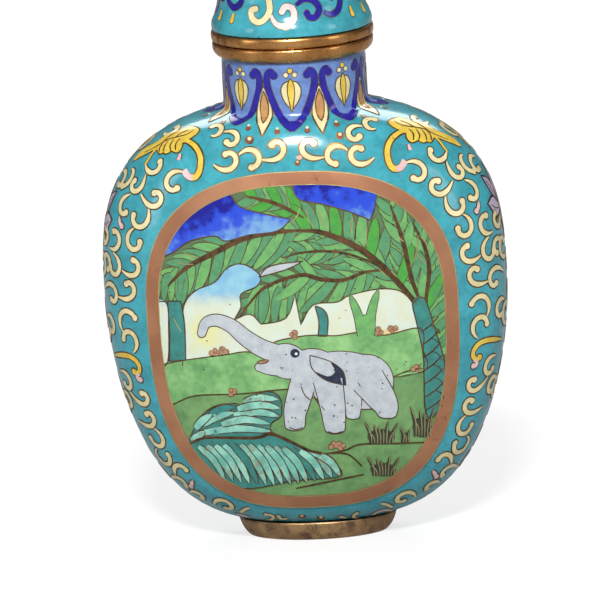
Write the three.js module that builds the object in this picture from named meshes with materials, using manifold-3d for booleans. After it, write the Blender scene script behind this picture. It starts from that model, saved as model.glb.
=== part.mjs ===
// A flattened enamelled snuff bottle with its domed stopper, standing on its foot, in millimetres.
// The wide pictured sides face -Y and +Y, +Z is up, and the origin is under the middle of the foot.

import * as THREE from 'three';
import { mergeVertices } from 'three/addons/utils/BufferGeometryUtils.js';
import loadManifold from 'manifold-3d';

// Foot: a tarnished oval band under the body
const footHeight = 2.2;
const footWidth = 18.8;
const footDepth = 12.6;
const footBand = 2.1;
const footInset = 0.8;
const footLedge = 1.05;
const footRounding = 0.25;

// Body: a hollow copper shell with enamel over it
const bodyWidth = 48;
const bodyDepth = 25;
const bodyHeight = 49.9;
const wall = 1.6;

// The shell's form: how far up it is widest, how much squarer than an oval it is there, how round
// it turns in above and below the belly, and how far round each of those curves it runs
const bellyShare = 0.557;
const flatness = 0.35;
const shoulderPower = 3.08;
const shoulderReach = 0.974;
const undersidePower = 1.79;
const undersideReach = 0.985;

// Neck and mouth
const neckDiameter = 17;
const neckHeight = 6.2;
const mouthDiameter = 7.2;
const mouthRimHeight = 1.8;
const rimOverhang = 1.15;
const rimBulge = 0.35;

// Picture frames: copper bands let into both wide sides, flush with the enamel
const frameBand = 1.65;
const frameDepth = 0.6;
const solderGap = 0.2;
const frameSideMargin = 5.55;
const frameTopMargin = 6.05;
const frameBottomMargin = 2.55;
const frameWidestDrop = 0.5;
const frameTopPower = 2.47;
const frameBottomPower = 2.75;

// Stopper: a copper rim under an enamelled dome, with a cork below and a button on top
const stopperRimHeight = 1.5;
const domeStep = 0.1;
const domeFlare = 0.9;
const domeFlareHeight = 3.4;
const domeHeight = 9.9;
const buttonDiameter = 3.2;
const buttonHeight = 2.7;
const buttonSeatDiameter = 2.4;
const buttonStem = 0.3;
const corkLength = 4.4;
const corkClearance = 0.3;
const corkTipInset = 0.25;

// The dome's flare as four curve points, each a share of its reach and of its height
const flarePoints = [
  [1, 0.15],
  [0.9, 0.42],
  [0.1, 0.56],
  [0, 1],
];

// How finely the shapes are faceted
const bodySides = 40;
const bodyRows = 10;
const boreSides = 28;
const boreRows = 6;
const boreTurn = 0.97;
const frameSides = 48;
const footSides = 36;
const rimSides = 32;
const smallSides = 20;
const flareSteps = 4;
const domeSteps = 7;
const bulgeSteps = 4;
const beadSteps = 7;
const beadStart = -0.7;
const normalStep = 0.002;
const mergeDistance = 1e-4;

// Heights and widths that follow from the sizes above
const shoulderTop = footHeight + bodyHeight;
const bellyLevel = footHeight + bodyHeight * bellyShare;
const rimDiameter = neckDiameter + 2 * rimOverhang;
const neckTop = shoulderTop + neckHeight;
const mouthLevel = neckTop + mouthRimHeight;
const domeBase = mouthLevel + stopperRimHeight;
const domeTop = domeBase + domeHeight;

const enamelTurquoise = { color: 0x37a3b3, roughness: 0.22, metalness: 0 };
const copper = { color: 0xb9784b, roughness: 0.4, metalness: 1 };
const brightCopper = { color: 0xb87c40, roughness: 0.28, metalness: 1 };
const tarnishedCopper = { color: 0x78643f, roughness: 0.55, metalness: 1 };
const cork = { color: 0xb08a5c, roughness: 0.9, metalness: 0 };

const manifold = await loadManifold();
manifold.setup();

// One level of the body: its half width, half depth, height and how square its oval is.
// The side share runs from 0 at the belly to 1 where the shell ends, above or below.
function bodyLevel(turn) {
  const above = turn >= 0;
  const power = above ? shoulderPower : undersidePower;
  const reach = above ? shoulderReach : undersideReach;
  const endWidth = above ? neckDiameter : footWidth - 2 * footLedge;
  const endDepth = above ? neckDiameter : footDepth - 2 * footLedge;
  const rise = above ? shoulderTop - bellyLevel : bellyLevel - footHeight;
  const lastTurn = Math.asin(reach ** (power / 2));
  const angle = Math.abs(turn) * lastTurn;
  const climb = Math.sin(angle) ** (2 / power);
  const share = Math.log(Math.cos(angle)) / Math.log(Math.cos(lastTurn));
  return {
    halfWidth: (bodyWidth / 2) * (endWidth / bodyWidth) ** share,
    halfDepth: (bodyDepth / 2) * (endDepth / bodyDepth) ** share,
    height: bellyLevel + (Math.sign(turn) * rise * climb) / reach,
    squareness: 2 + flatness * (1 - climb ** 4),
  };
}

// A point on a level's oval, with angle 0 at the front and a quarter turn at the right
function ovalPoint(level, angle) {
  const power = 2 / level.squareness;
  const across = Math.sign(Math.sin(angle)) * Math.abs(Math.sin(angle)) ** power;
  const forward = Math.sign(Math.cos(angle)) * Math.abs(Math.cos(angle)) ** power;
  return new THREE.Vector3(level.halfWidth * across, -level.halfDepth * forward, level.height);
}

// The shell's surface point at a turn and an angle, moved inwards square to the surface
function shellPoint(turn, angle, inset) {
  const level = bodyLevel(turn);
  const point = ovalPoint(level, angle);
  if (inset === 0) return point;
  const along = ovalPoint(level, angle + normalStep).sub(ovalPoint(level, angle - normalStep));
  const low = Math.max(turn - normalStep, -1);
  const high = Math.min(turn + normalStep, 1);
  const up = ovalPoint(bodyLevel(high), angle).sub(ovalPoint(bodyLevel(low), angle));
  return point.addScaledVector(along.cross(up).normalize(), -inset);
}

// A turned shape, each of whose rows is placed by its own function of the angle.
// The first and the last row lie on the axis.
function turnedShape(rows, sides) {
  const profile = rows.map((row, index) => new THREE.Vector2(row.onAxis ? 0 : 1, index));
  const geometry = new THREE.LatheGeometry(profile, sides);
  const position = geometry.getAttribute('position');
  for (let index = 0; index < position.count; index += 1) {
    const angle = ((Math.floor(index / rows.length) % sides) / sides) * Math.PI * 2;
    const point = rows[index % rows.length].place(angle);
    position.setXYZ(index, point.x, point.y, point.z);
  }
  return geometry;
}

function axisRow(height) {
  return { onAxis: true, place: () => new THREE.Vector3(0, 0, height) };
}

function roundRow(radius, height) {
  return {
    onAxis: false,
    place: (angle) => new THREE.Vector3(radius * Math.sin(angle), -radius * Math.cos(angle), height),
  };
}

function shellRow(turn, inset) {
  return { onAxis: false, place: (angle) => shellPoint(turn, angle, inset) };
}

// Values from first to last in equal steps, both ends included
function steps(first, last, count) {
  return Array.from({ length: count + 1 }, (_, index) => first + ((last - first) * index) / count);
}

function toSolid(geometry) {
  const bare = geometry.clone();
  bare.deleteAttribute('normal');
  bare.deleteAttribute('uv');
  const merged = mergeVertices(bare, mergeDistance);
  return new manifold.Manifold(
    new manifold.Mesh({
      numProp: 3,
      vertProperties: new Float32Array(merged.getAttribute('position').array),
      triVerts: new Uint32Array(merged.getIndex().array),
    }),
  );
}

function toGeometry(solid) {
  const mesh = solid.getMesh();
  const geometry = new THREE.BufferGeometry();
  geometry.setAttribute('position', new THREE.BufferAttribute(new Float32Array(mesh.vertProperties), 3));
  geometry.setIndex(new THREE.BufferAttribute(new Uint32Array(mesh.triVerts), 1));
  geometry.computeVertexNormals();
  return geometry;
}

function named(name, geometry, finish) {
  const mesh = new THREE.Mesh(geometry, new THREE.MeshStandardMaterial(finish));
  mesh.name = name;
  return mesh;
}

// A ring or plug turned about the bottle's axis from radius and height pairs
function turned(pairs, sides = rimSides) {
  const outline = pairs.map(([radius, height]) => new THREE.Vector2(radius, height));
  return new THREE.LatheGeometry(outline, sides).rotateX(Math.PI / 2);
}

// The body's outer form, or the same form a little smaller all round
function bodyForm(inset) {
  const rows = steps(-1, 1, 2 * bodyRows).map((turn) => shellRow(turn, inset));
  const neckRadius = neckDiameter / 2;
  return turnedShape(
    [axisRow(footHeight + inset), ...rows, roundRow(neckRadius - inset, neckTop), axisRow(neckTop)],
    bodySides,
  );
}

// The space inside: it follows the shell at the wall's thickness and runs out through the neck
function bodyBore() {
  const boreRadius = neckDiameter / 2 - wall;
  const rows = steps(-boreTurn, boreTurn, 2 * boreRows).map((turn) => shellRow(turn, wall));
  const throat = shoulderTop - wall / 2;
  return turnedShape(
    [
      axisRow(footHeight + wall),
      ...rows,
      roundRow(boreRadius, throat),
      roundRow(boreRadius, neckTop + wall),
      axisRow(neckTop + wall),
    ],
    boreSides,
  );
}

// The frame's outline on the wide side, widest a little below the belly, drawn inwards by inset
function frameOutline(inset) {
  const halfWidth = bodyWidth / 2 - frameSideMargin - inset;
  const middle = bellyLevel - frameWidestDrop;
  const rise = shoulderTop - frameTopMargin - middle - inset;
  const drop = middle - footHeight - frameBottomMargin - inset;
  return steps(0, Math.PI * 2, frameSides)
    .slice(0, frameSides)
    .map((angle) => {
      const upper = Math.sin(angle) >= 0;
      const power = 2 / (upper ? frameTopPower : frameBottomPower);
      const across = Math.sign(Math.cos(angle)) * Math.abs(Math.cos(angle)) ** power;
      const climb = Math.abs(Math.sin(angle)) ** power;
      return new THREE.Vector2(halfWidth * across, middle + (upper ? rise : -drop) * climb);
    });
}

// A band between two of those outlines, running through one wide side from front to back
function frameBandSolid(grow, facing) {
  const band = new THREE.Shape(frameOutline(-grow));
  band.holes.push(new THREE.Path(frameOutline(frameBand + grow)));
  const through = new THREE.ExtrudeGeometry(band, { depth: bodyDepth, bevelEnabled: false, steps: 1 });
  through.rotateX(Math.PI / 2);
  if (facing > 0) through.translate(0, bodyDepth, 0);
  return toSolid(through);
}

// The body, with a shallow groove in each wide side for its frame
function makeBody() {
  const form = toSolid(bodyForm(0));
  const groovedCore = toSolid(bodyForm(frameDepth + solderGap));
  const bore = toSolid(bodyBore());
  let body = form.subtract(bore);
  for (const facing of [-1, 1]) {
    const groove = frameBandSolid(solderGap, facing).subtract(groovedCore);
    body = body.subtract(groove);
  }
  return toGeometry(body);
}

// A frame is the skin of the body's form inside the band
function makeFrame(facing) {
  const skin = toSolid(bodyForm(0)).subtract(toSolid(bodyForm(frameDepth)));
  return toGeometry(skin.intersect(frameBandSolid(0, facing)));
}

// The foot is an oval band of even thickness, tapering to the ground and flat where the body sits
function makeFoot() {
  const outline = [
    [-footBand, 0],
    [-footInset - footRounding, 0],
    [-footInset, footRounding],
    [0, footHeight - 2 * footRounding],
    [-footRounding / 2, footHeight - footRounding / 2],
    [-footLedge + footRounding, footHeight],
    [-footBand, footHeight],
    [-footBand, 0],
  ];
  const geometry = new THREE.LatheGeometry(
    outline.map(([offset, height]) => new THREE.Vector2(footWidth / 2 + offset, height)),
    footSides,
  ).rotateX(Math.PI / 2);
  const position = geometry.getAttribute('position');
  for (let index = 0; index < position.count; index += 1) {
    const radius = Math.hypot(position.getX(index), position.getY(index));
    const shorter = radius - (footWidth - footDepth) / 2;
    position.setY(index, (position.getY(index) * shorter) / radius);
  }
  return geometry;
}

// The mouth rim closes the neck but for a round hole, and its edge bulges past the neck
function makeMouthRim() {
  const rimRadius = rimDiameter / 2;
  const neckRadius = neckDiameter / 2;
  const holeRadius = mouthDiameter / 2;
  const swell = steps(0, 1, bulgeSteps).map((share) => [
    neckRadius + (rimRadius - neckRadius - rimBulge / 2) * Math.sin((share * Math.PI) / 2),
    neckTop + (mouthRimHeight - rimBulge) * (1 - Math.cos((share * Math.PI) / 2)),
  ]);
  return turned([
    [holeRadius, neckTop],
    ...swell,
    [rimRadius - rimBulge, mouthLevel],
    [holeRadius, mouthLevel],
    [holeRadius, neckTop],
  ]);
}

// The stopper's rim is a disc with a rounded edge, lying on the mouth rim
function makeStopperRim() {
  const rimRadius = rimDiameter / 2;
  const bulge = steps(-1, 1, bulgeSteps).map((share) => [
    rimRadius - rimBulge + rimBulge * Math.cos((share * Math.PI) / 2),
    mouthLevel + (stopperRimHeight / 2) * (1 + share),
  ]);
  return turned([[0, mouthLevel], ...bulge, [0, domeBase]]);
}

// The dome flares out to the rim, then closes in an arc to the button's seat
function makeDome() {
  const baseRadius = rimDiameter / 2 - domeStep;
  const waistRadius = baseRadius - domeFlare;
  const seatRadius = buttonSeatDiameter / 2;
  const flareCorners = flarePoints.map(([reach, rise]) => {
    return new THREE.Vector2(waistRadius + domeFlare * reach, domeBase + domeFlareHeight * rise);
  });
  const flare = new THREE.CubicBezierCurve(...flareCorners);
  const lastAngle = Math.acos(seatRadius / waistRadius);
  const arcRise = (domeHeight - domeFlareHeight) / Math.sin(lastAngle);
  const arc = steps(0, lastAngle, domeSteps)
    .slice(1, -1)
    .map((angle) => [
      waistRadius * Math.cos(angle),
      domeBase + domeFlareHeight + arcRise * Math.sin(angle),
    ]);
  const bell = flare.getPoints(flareSteps).map((point) => [point.x, point.y]);
  return turned([
    [0, domeBase],
    [baseRadius, domeBase],
    ...bell,
    ...arc,
    [seatRadius, domeTop],
    [0, domeTop],
  ]);
}

// The button is a small bead on a short stem, flat below where it is soldered to the dome
function makeButton() {
  const seatRadius = buttonSeatDiameter / 2;
  const beadRadius = buttonDiameter / 2;
  const beadMiddle = domeTop + (buttonStem + buttonHeight) / 2;
  const bead = steps(beadStart, 1, beadSteps)
    .slice(0, -1)
    .map((share) => [
      beadRadius * Math.cos((share * Math.PI) / 2),
      beadMiddle + ((buttonHeight - buttonStem) / 2) * Math.sin((share * Math.PI) / 2),
    ]);
  return turned(
    [[0, domeTop], [seatRadius, domeTop], ...bead, [0, domeTop + buttonHeight]],
    smallSides,
  );
}

// The cork hangs from the stopper's rim into the mouth's hole, and is a little narrower
function makeCork() {
  const corkRadius = mouthDiameter / 2 - corkClearance;
  const foot = mouthLevel - corkLength;
  return turned(
    [
      [0, foot],
      [corkRadius - corkTipInset, foot],
      [corkRadius, mouthLevel - mouthRimHeight],
      [corkRadius, mouthLevel],
      [0, mouthLevel],
    ],
    smallSides,
  );
}

const snuffBottle = new THREE.Group();
snuffBottle.add(
  named('foot_rim', makeFoot(), tarnishedCopper),
  named('bottle_body', makeBody(), enamelTurquoise),
  named('panel_frame_front', makeFrame(-1), copper),
  named('panel_frame_back', makeFrame(1), copper),
  named('mouth_rim', makeMouthRim(), brightCopper),
  named('stopper_rim', makeStopperRim(), brightCopper),
  named('stopper_dome', makeDome(), enamelTurquoise),
  named('stopper_button', makeButton(), brightCopper),
  named('stopper_cork', makeCork(), cork),
);

export default snuffBottle;
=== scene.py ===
import collections
import functools
import json
import math

import bmesh
import bpy
from mathutils import Matrix, Vector


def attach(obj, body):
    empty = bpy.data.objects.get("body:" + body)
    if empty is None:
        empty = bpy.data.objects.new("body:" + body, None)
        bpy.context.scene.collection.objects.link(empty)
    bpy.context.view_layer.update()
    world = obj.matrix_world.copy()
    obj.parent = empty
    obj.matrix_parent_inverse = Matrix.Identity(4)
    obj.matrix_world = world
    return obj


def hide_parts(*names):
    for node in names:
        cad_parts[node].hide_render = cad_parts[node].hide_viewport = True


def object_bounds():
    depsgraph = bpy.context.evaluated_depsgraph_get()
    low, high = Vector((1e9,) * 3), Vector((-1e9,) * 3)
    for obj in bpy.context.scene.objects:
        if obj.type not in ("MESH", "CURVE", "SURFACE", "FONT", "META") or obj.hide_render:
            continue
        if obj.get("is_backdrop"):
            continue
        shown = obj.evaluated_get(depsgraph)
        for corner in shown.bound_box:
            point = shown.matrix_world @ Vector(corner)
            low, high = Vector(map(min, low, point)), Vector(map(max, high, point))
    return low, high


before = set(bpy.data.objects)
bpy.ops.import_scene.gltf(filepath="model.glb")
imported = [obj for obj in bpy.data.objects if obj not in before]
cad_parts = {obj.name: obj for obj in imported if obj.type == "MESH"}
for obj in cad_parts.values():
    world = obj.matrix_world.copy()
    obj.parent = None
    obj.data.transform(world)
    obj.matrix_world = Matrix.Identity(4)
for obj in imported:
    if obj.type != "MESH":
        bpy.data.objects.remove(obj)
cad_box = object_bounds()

# Bottle body. A hollow shell of thin copper, hammered in two halves and brazed together, with
# turquoise enamel fired over it outside, ground and polished flush with its wires. Inside is a
# dark counter-enamel. Lengths are in millimetres until a piece is finished.
foot_top = 2.2
belly_level = 29.99
shoulder_top = 52.1
neck_top = 58.3
half_width = 24
half_depth = 12.5
neck_radius = 8.5
wall = 1.6
flatness = 0.35
upper_form = {"power": 3.08, "reach": 0.974, "end": (8.5, 8.5), "rise": shoulder_top - belly_level}
lower_form = {"power": 1.79, "reach": 0.985, "end": (8.35, 5.25), "rise": belly_level - foot_top}
body_sides = 176
shell_rows = 44
bore_rows = 20
neck_fillet = 1.0
shoulder_turn = 0.97
neck_rows = (54.5, 56.5, neck_top)


def body_level(height):
    """The body's half width, half depth and squareness at a height"""
    if height >= shoulder_top:
        return neck_radius, neck_radius, 2.0
    form = upper_form if height > belly_level else lower_form
    climb = min(abs(height - belly_level) / form["rise"], 1) * form["reach"]
    share = math.log(1 - climb ** form["power"]) / math.log(1 - form["reach"] ** form["power"])
    width = half_width * (form["end"][0] / half_width) ** share
    depth = half_depth * (form["end"][1] / half_depth) ** share
    return width, depth, 2 + flatness * (1 - climb**4)


def level_of_turn(turn):
    """The height where the shell has curved in by a share of its turn, from -1 to 1"""
    form = upper_form if turn > 0 else lower_form
    angle = abs(turn) * math.asin(form["reach"] ** (form["power"] / 2))
    climb = math.sin(angle) ** (2 / form["power"])
    return belly_level + math.copysign(form["rise"] * climb / form["reach"], turn)


def oval_point(height, angle):
    """A point on the body's skin; the angle is 0 at the front and a quarter turn at the right"""
    width, depth, squareness = body_level(height)
    across = math.copysign(abs(math.sin(angle)) ** (2 / squareness), math.sin(angle))
    forward = math.copysign(abs(math.cos(angle)) ** (2 / squareness), math.cos(angle))
    return Vector((width * across, -depth * forward, height))


def skin_gap(point):
    """How far out of the body's skin a point is, as a share of the body's size"""
    width, depth, squareness = body_level(max(point.z, foot_top))
    return (abs(point.x) / width) ** squareness + (abs(point.y) / depth) ** squareness - 1


def skin_slope(point):
    """The direction and rate in which the gap grows"""
    step = 0.001
    ways = (Vector((step, 0, 0)), Vector((0, step, 0)), Vector((0, 0, step)))
    return Vector([(skin_gap(point + way) - skin_gap(point - way)) / (2 * step) for way in ways])


def settle(point):
    """The point moved square onto the skin"""
    for _ in range(3):
        slope = skin_slope(point)
        point = point - slope * (skin_gap(point) / slope.length_squared)
    return point


def skin_normal(point):
    return skin_slope(point).normalized()


class Paint:
    """One shader value of a material, on which Python's operators work"""

    def __init__(self, tree, socket=None):
        self.tree = tree
        self.socket = socket

    def node(self, kind, settings=None, inputs=None, output=0):
        made = self.tree.nodes.new(kind)
        for name, value in (settings or {}).items():
            if name == "stops":
                ramp = made.color_ramp.elements
                for index, (position, colour) in enumerate(value):
                    stop = ramp[index] if index < 2 else ramp.new(position)
                    stop.position = position
                    stop.color = (*colour, 1)
            else:
                setattr(made, name, value)
        for name, value in (inputs or {}).items():
            if isinstance(value, Paint):
                self.tree.links.new(value.socket, made.inputs[name])
            else:
                made.inputs[name].default_value = value
        return Paint(self.tree, made.outputs[output])

    def maths(self, operation, first, second):
        return self.node("ShaderNodeMath", {"operation": operation}, {0: first, 1: second})

    def __add__(self, other):
        return self.maths("ADD", self, other)

    def __radd__(self, other):
        return self.maths("ADD", other, self)

    def __sub__(self, other):
        return self.maths("SUBTRACT", self, other)

    def __rsub__(self, other):
        return self.maths("SUBTRACT", other, self)

    def __mul__(self, other):
        return self.maths("MULTIPLY", self, other)

    def __rmul__(self, other):
        return self.maths("MULTIPLY", other, self)

    def __pow__(self, other):
        return self.maths("POWER", self, other)

    def within(self, low, high):
        """0 below the low value, 1 above the high one, and smooth between"""
        inputs = {"Value": self, "From Min": low, "From Max": high}
        return self.node("ShaderNodeMapRange", {"interpolation_type": "SMOOTHSTEP"}, inputs)

    def blend(self, first, second):
        """From the first colour to the second as this value goes from 0 to 1"""
        inputs = {0: self, 6: first, 7: second}
        return self.node("ShaderNodeMix", {"data_type": "RGBA"}, inputs, 2)

    def place(self):
        return self.node("ShaderNodeTexCoord", output="Object")

    def noise(self, size_mm, detail=3.0, seed=0.0):
        """Soft noise whose features are about the given size"""
        inputs = {"Vector": self.place(), "Scale": 1000 / size_mm, "Detail": detail, "W": seed}
        return self.node("ShaderNodeTexNoise", {"noise_dimensions": "4D"}, inputs)

    def cells(self, size_mm, seed=0.0):
        """How far a point is from the nearest of some scattered spots"""
        inputs = {"Vector": self.place(), "Scale": 1000 / size_mm, "W": seed}
        return self.node("ShaderNodeTexVoronoi", {"voronoi_dimensions": "4D"}, inputs, "Distance")


def linear(red, green, blue):
    """A colour as a screen shows it, in the values that a shader takes"""
    shares = [value / 255 for value in (red, green, blue)]
    curve = [share / 12.92 if share < 0.04045 else ((share + 0.055) / 1.055) ** 2.4 for share in shares]
    return (*curve, 1)


def surface(name, base_color, roughness, constants, height=None, bump=0.2):
    """A material from its colour, roughness and height, with the rest as constants"""
    material = bpy.data.materials.new(name)
    material.use_nodes = True
    tree = material.node_tree
    shader = tree.nodes["Principled BSDF"]
    start = Paint(tree)
    tree.links.new(base_color(start).socket, shader.inputs["Base Color"])
    tree.links.new(roughness(start).socket, shader.inputs["Roughness"])
    for socket, value in constants.items():
        shader.inputs[socket].default_value = value
    if height:
        inputs = {"Strength": bump, "Distance": 0.0002, "Height": height(start)}
        tree.links.new(start.node("ShaderNodeBump", None, inputs).socket, shader.inputs["Normal"])
    return material


pit_colour = (38, 40, 34)


def enamel(name, light, deep, cloud=1.2, pits=1.0, gloss=0.13, seed=0.0):
    """Fired glass: uneven between two screen colours, with a few dark pits where bubbles were ground
    open"""

    def pitted(paint):
        spread = paint.cells(0.85 - 0.13 * pits, seed=seed)
        holes = 1 - spread.within(0.07 + 0.03 * pits, 0.15 + 0.05 * pits)
        rare = paint.noise(2.2, 2, seed=seed + 5).within(0.6 - 0.05 * pits, 0.64 - 0.05 * pits)
        return holes * rare * min(pits, 1)

    def colour(paint):
        tone = paint.noise(cloud, 4, seed=seed).within(0.3, 0.7)
        streak = paint.noise(cloud / 4, 2, seed=seed + 2).within(0.35, 0.65)
        mixed = (tone * 0.7 + streak * 0.3).blend(linear(*light), linear(*deep))
        return pitted(paint).blend(mixed, linear(*pit_colour))

    def shine(paint):
        return paint.noise(1.8, 3, seed=seed + 3) * 0.1 + gloss + pitted(paint) * 0.4

    def relief(paint):
        return paint.noise(2.4, 3, seed=seed) * 0.6 - pitted(paint)

    constants = {"Coat Weight": 0.3, "Coat Roughness": 0.06, "IOR": 1.5, "Specular IOR Level": 0.4}
    return surface(name, colour, shine, constants, relief, 0.12)


def metal(name, bright, worn, dark, tarnish=0.5, rough=0.3, grain=1.6, seed=0.0, bare=1.0):
    """Copper or its gilding in three screen colours, polished by handling, with brown tarnish left in
    patches, and bare metal in the given share"""

    def stain(paint):
        patches = paint.noise(grain, 5, seed=seed) * 0.7 + paint.noise(grain / 6, 3, seed=seed + 1) * 0.3
        return patches.within(0.62 - 0.3 * tarnish, 0.72 - 0.12 * tarnish)

    def colour(paint):
        mix = paint.noise(grain * 2.5, 3, seed=seed + 2).within(0.35, 0.65)
        return (stain(paint) * 0.8).blend(mix.blend(linear(*bright), linear(*worn)), linear(*dark))

    def shine(paint):
        return stain(paint) * 0.22 + paint.noise(0.5, 4, seed=seed + 4) * 0.12 + rough

    def relief(paint):
        return paint.noise(0.35, 4, seed=seed + 4) * 0.5 + paint.noise(grain, 3, seed=seed) * 0.5

    return surface(name, colour, shine, {"Metallic": bare}, relief, 0.16)


def finish_piece(name, bm, materials, nodes=(), crease=32):
    """The mesh as an object in metres, riding on the body and standing for its nodes"""
    bmesh.ops.scale(bm, vec=(0.001, 0.001, 0.001), verts=bm.verts)
    mesh = bpy.data.meshes.new(name)
    bm.to_mesh(mesh)
    bm.free()
    for material in materials:
        mesh.materials.append(material)
    mesh.shade_smooth()
    mesh.set_sharp_from_angle(angle=math.radians(crease))
    if "facing" in mesh.attributes:
        facing = [tuple(entry.vector) for entry in mesh.attributes["facing"].data]
        mesh.normals_split_custom_set_from_vertices(facing)
        mesh.attributes.remove(mesh.attributes["facing"])
    piece = bpy.data.objects.new(name, mesh)
    bpy.context.scene.collection.objects.link(piece)
    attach(piece, "root")
    if nodes:
        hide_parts(*nodes)
    return piece


def next_row(bm, edges, place):
    """Extrude a ring of edges and place each new vertex by its angle round the bottle"""
    angle = bm.verts.layers.float["angle"]
    made = bmesh.ops.extrude_edge_only(bm, edges=edges)["geom"]
    corners = {item for item in made if isinstance(item, bmesh.types.BMVert)}
    for corner in corners:
        corner.co = place(corner[angle])
    return [e for e in made if isinstance(e, bmesh.types.BMEdge) and corners.issuperset(e.verts)]


def first_row(bm, sides, place):
    angle = bm.verts.layers.float.new("angle")
    for corner in bmesh.ops.create_circle(bm, segments=sides, radius=1)["verts"]:
        corner[angle] = math.atan2(corner.co.x, -corner.co.y)
        corner.co = place(corner[angle])
    return bm.edges[:]


def close_row(bm, edges, centre):
    """Draw a ring together in one point"""
    last = next_row(bm, edges, lambda angle: centre)
    corners = {corner for edge in last for corner in edge.verts}
    bmesh.ops.pointmerge(bm, verts=list(corners), merge_co=centre)


def round_point(radius, height, angle):
    return Vector((radius * math.sin(angle), -radius * math.cos(angle), height))


def neck_corner(share, angle):
    """The soft corner between shoulder and neck: a curve that meets both"""
    start = oval_point(level_of_turn(shoulder_turn), angle)
    corner = round_point(neck_radius, shoulder_top, angle)
    end = round_point(neck_radius, shoulder_top + neck_fillet, angle)
    return start * (1 - share) ** 2 + corner * (2 * share * (1 - share)) + end * share**2


body = bmesh.new()
rim = first_row(body, body_sides, lambda angle: oval_point(foot_top, angle))
close_row(body, rim, Vector((0, 0, foot_top)))
outline_turns = [-1 + 2 * index / shell_rows for index in range(1, shell_rows)] + [shoulder_turn]
for turn in outline_turns:
    rim = next_row(body, rim, lambda angle: oval_point(level_of_turn(turn), angle))
for share in (0.25, 0.5, 0.75, 1):
    rim = next_row(body, rim, lambda angle: neck_corner(share, angle))
for height in neck_rows:
    rim = next_row(body, rim, lambda angle: round_point(neck_radius, height, angle))
outer_faces = set(body.faces)
bore_radius = neck_radius - wall
for height in (neck_top, shoulder_top - wall / 2):
    rim = next_row(body, rim, lambda angle: round_point(bore_radius, height, angle))
for index in range(bore_rows + 1):
    turn = shoulder_turn * (1 - 2 * index / bore_rows)

    def inside(angle):
        outside = oval_point(level_of_turn(turn), angle)
        return outside - skin_normal(outside) * wall

    rim = next_row(body, rim, inside)
close_row(body, rim, Vector((0, 0, foot_top + wall)))
for face in body.faces:
    face.material_index = 0 if face in outer_faces else 1
body.verts.layers.float.remove(body.verts.layers.float["angle"])
bmesh.ops.recalc_face_normals(body, faces=body.faces)
turquoise = enamel("turquoise enamel", (72, 172, 187), (52, 140, 153), 2.6, 0.9)
counter_enamel = enamel("dark counter enamel", (40, 70, 90), (22, 40, 58), 3.0, 1.0, 0.3)
finish_piece("bottle_shell", body, [turquoise, counter_enamel], ["bottle_body"], 60)

# Foot. A low oval band of copper brazed under the body, tarnished brown.
foot_half_width = 9.4
foot_half_depth = 6.3
foot_sides = 120
foot_section = [
    (-2.1, 0.0), (-1.3, 0.0), (-1.14, 0.05), (-0.92, 0.24), (-0.7, 0.5), (-0.48, 0.82), (-0.28, 1.2),
    (-0.12, 1.6), (-0.01, 1.95), (0.08, 2.2), (0.02, 2.3), (-0.3, 2.26), (-0.8, 2.2), (-2.1, 2.2),
]


def closed_ring(places, sides):
    """A ring from the rows of its section, each a function that places a vertex by its angle"""
    ring = bmesh.new()
    first = rim = first_row(ring, sides, places[0])
    for place in places[1:]:
        rim = next_row(ring, rim, place)
    bmesh.ops.bridge_loops(ring, edges=first + rim)
    bmesh.ops.recalc_face_normals(ring, faces=ring.faces)
    ring.verts.layers.float.remove(ring.verts.layers.float["angle"])
    return ring


def foot_row(offset, height):
    """One row of the foot: an oval, larger than the foot's own by the offset"""
    width, depth = foot_half_width + offset, foot_half_depth + offset

    def place(angle):
        point = round_point(width, height, angle)
        return Vector((point.x, point.y * depth / width, height))

    return place


tarnished = metal(
    "tarnished foot copper", (196, 158, 112), (160, 126, 92), (92, 76, 62), 0.6, 0.34, 1.1, 3.0, 0.7
)
foot = closed_ring([foot_row(*corner) for corner in foot_section], foot_sides)
finish_piece("foot_band", foot, [tarnished], ["foot_rim"], 35)

# Mouth rim and stopper rim. Two turned copper rings with rounded edges, once gilded and now
# bright where hands rub them. The lower closes the neck, the upper belongs to the stopper.
mouth_level = 60.1
dome_base = 61.6
rim_radius = 9.65
mouth_radius = 3.6


def turned(section, sides=128):
    """Spin a closed section, as pairs of radius and height, round the bottle's axis"""
    ring = bmesh.new()
    corners = [ring.verts.new((radius, 0, height)) for radius, height in section]
    lines = [ring.edges.new(pair) for pair in zip(corners, corners[1:])]
    if section[0][0] > 0:
        lines.append(ring.edges.new((corners[-1], corners[0])))
    turn = {"axis": (0, 0, 1), "cent": (0, 0, 0), "angle": 2 * math.pi}
    bmesh.ops.spin(ring, geom=corners + lines, steps=sides, use_merge=True, **turn)
    bmesh.ops.remove_doubles(ring, verts=ring.verts, dist=0.0005)
    bmesh.ops.recalc_face_normals(ring, faces=ring.faces)
    return ring


def arc(centre, radii, first, last, steps, power=1.0):
    """Points along part of an ellipse, in degrees from straight out towards up, squarer as the
    power falls below 1"""
    points = []
    for index in range(steps + 1):
        angle = math.radians(first + (last - first) * index / steps)
        out = math.copysign(abs(math.cos(angle)) ** power, math.cos(angle))
        up = math.copysign(abs(math.sin(angle)) ** power, math.sin(angle))
        points.append((centre[0] + radii[0] * out, centre[1] + radii[1] * up))
    return points


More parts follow.
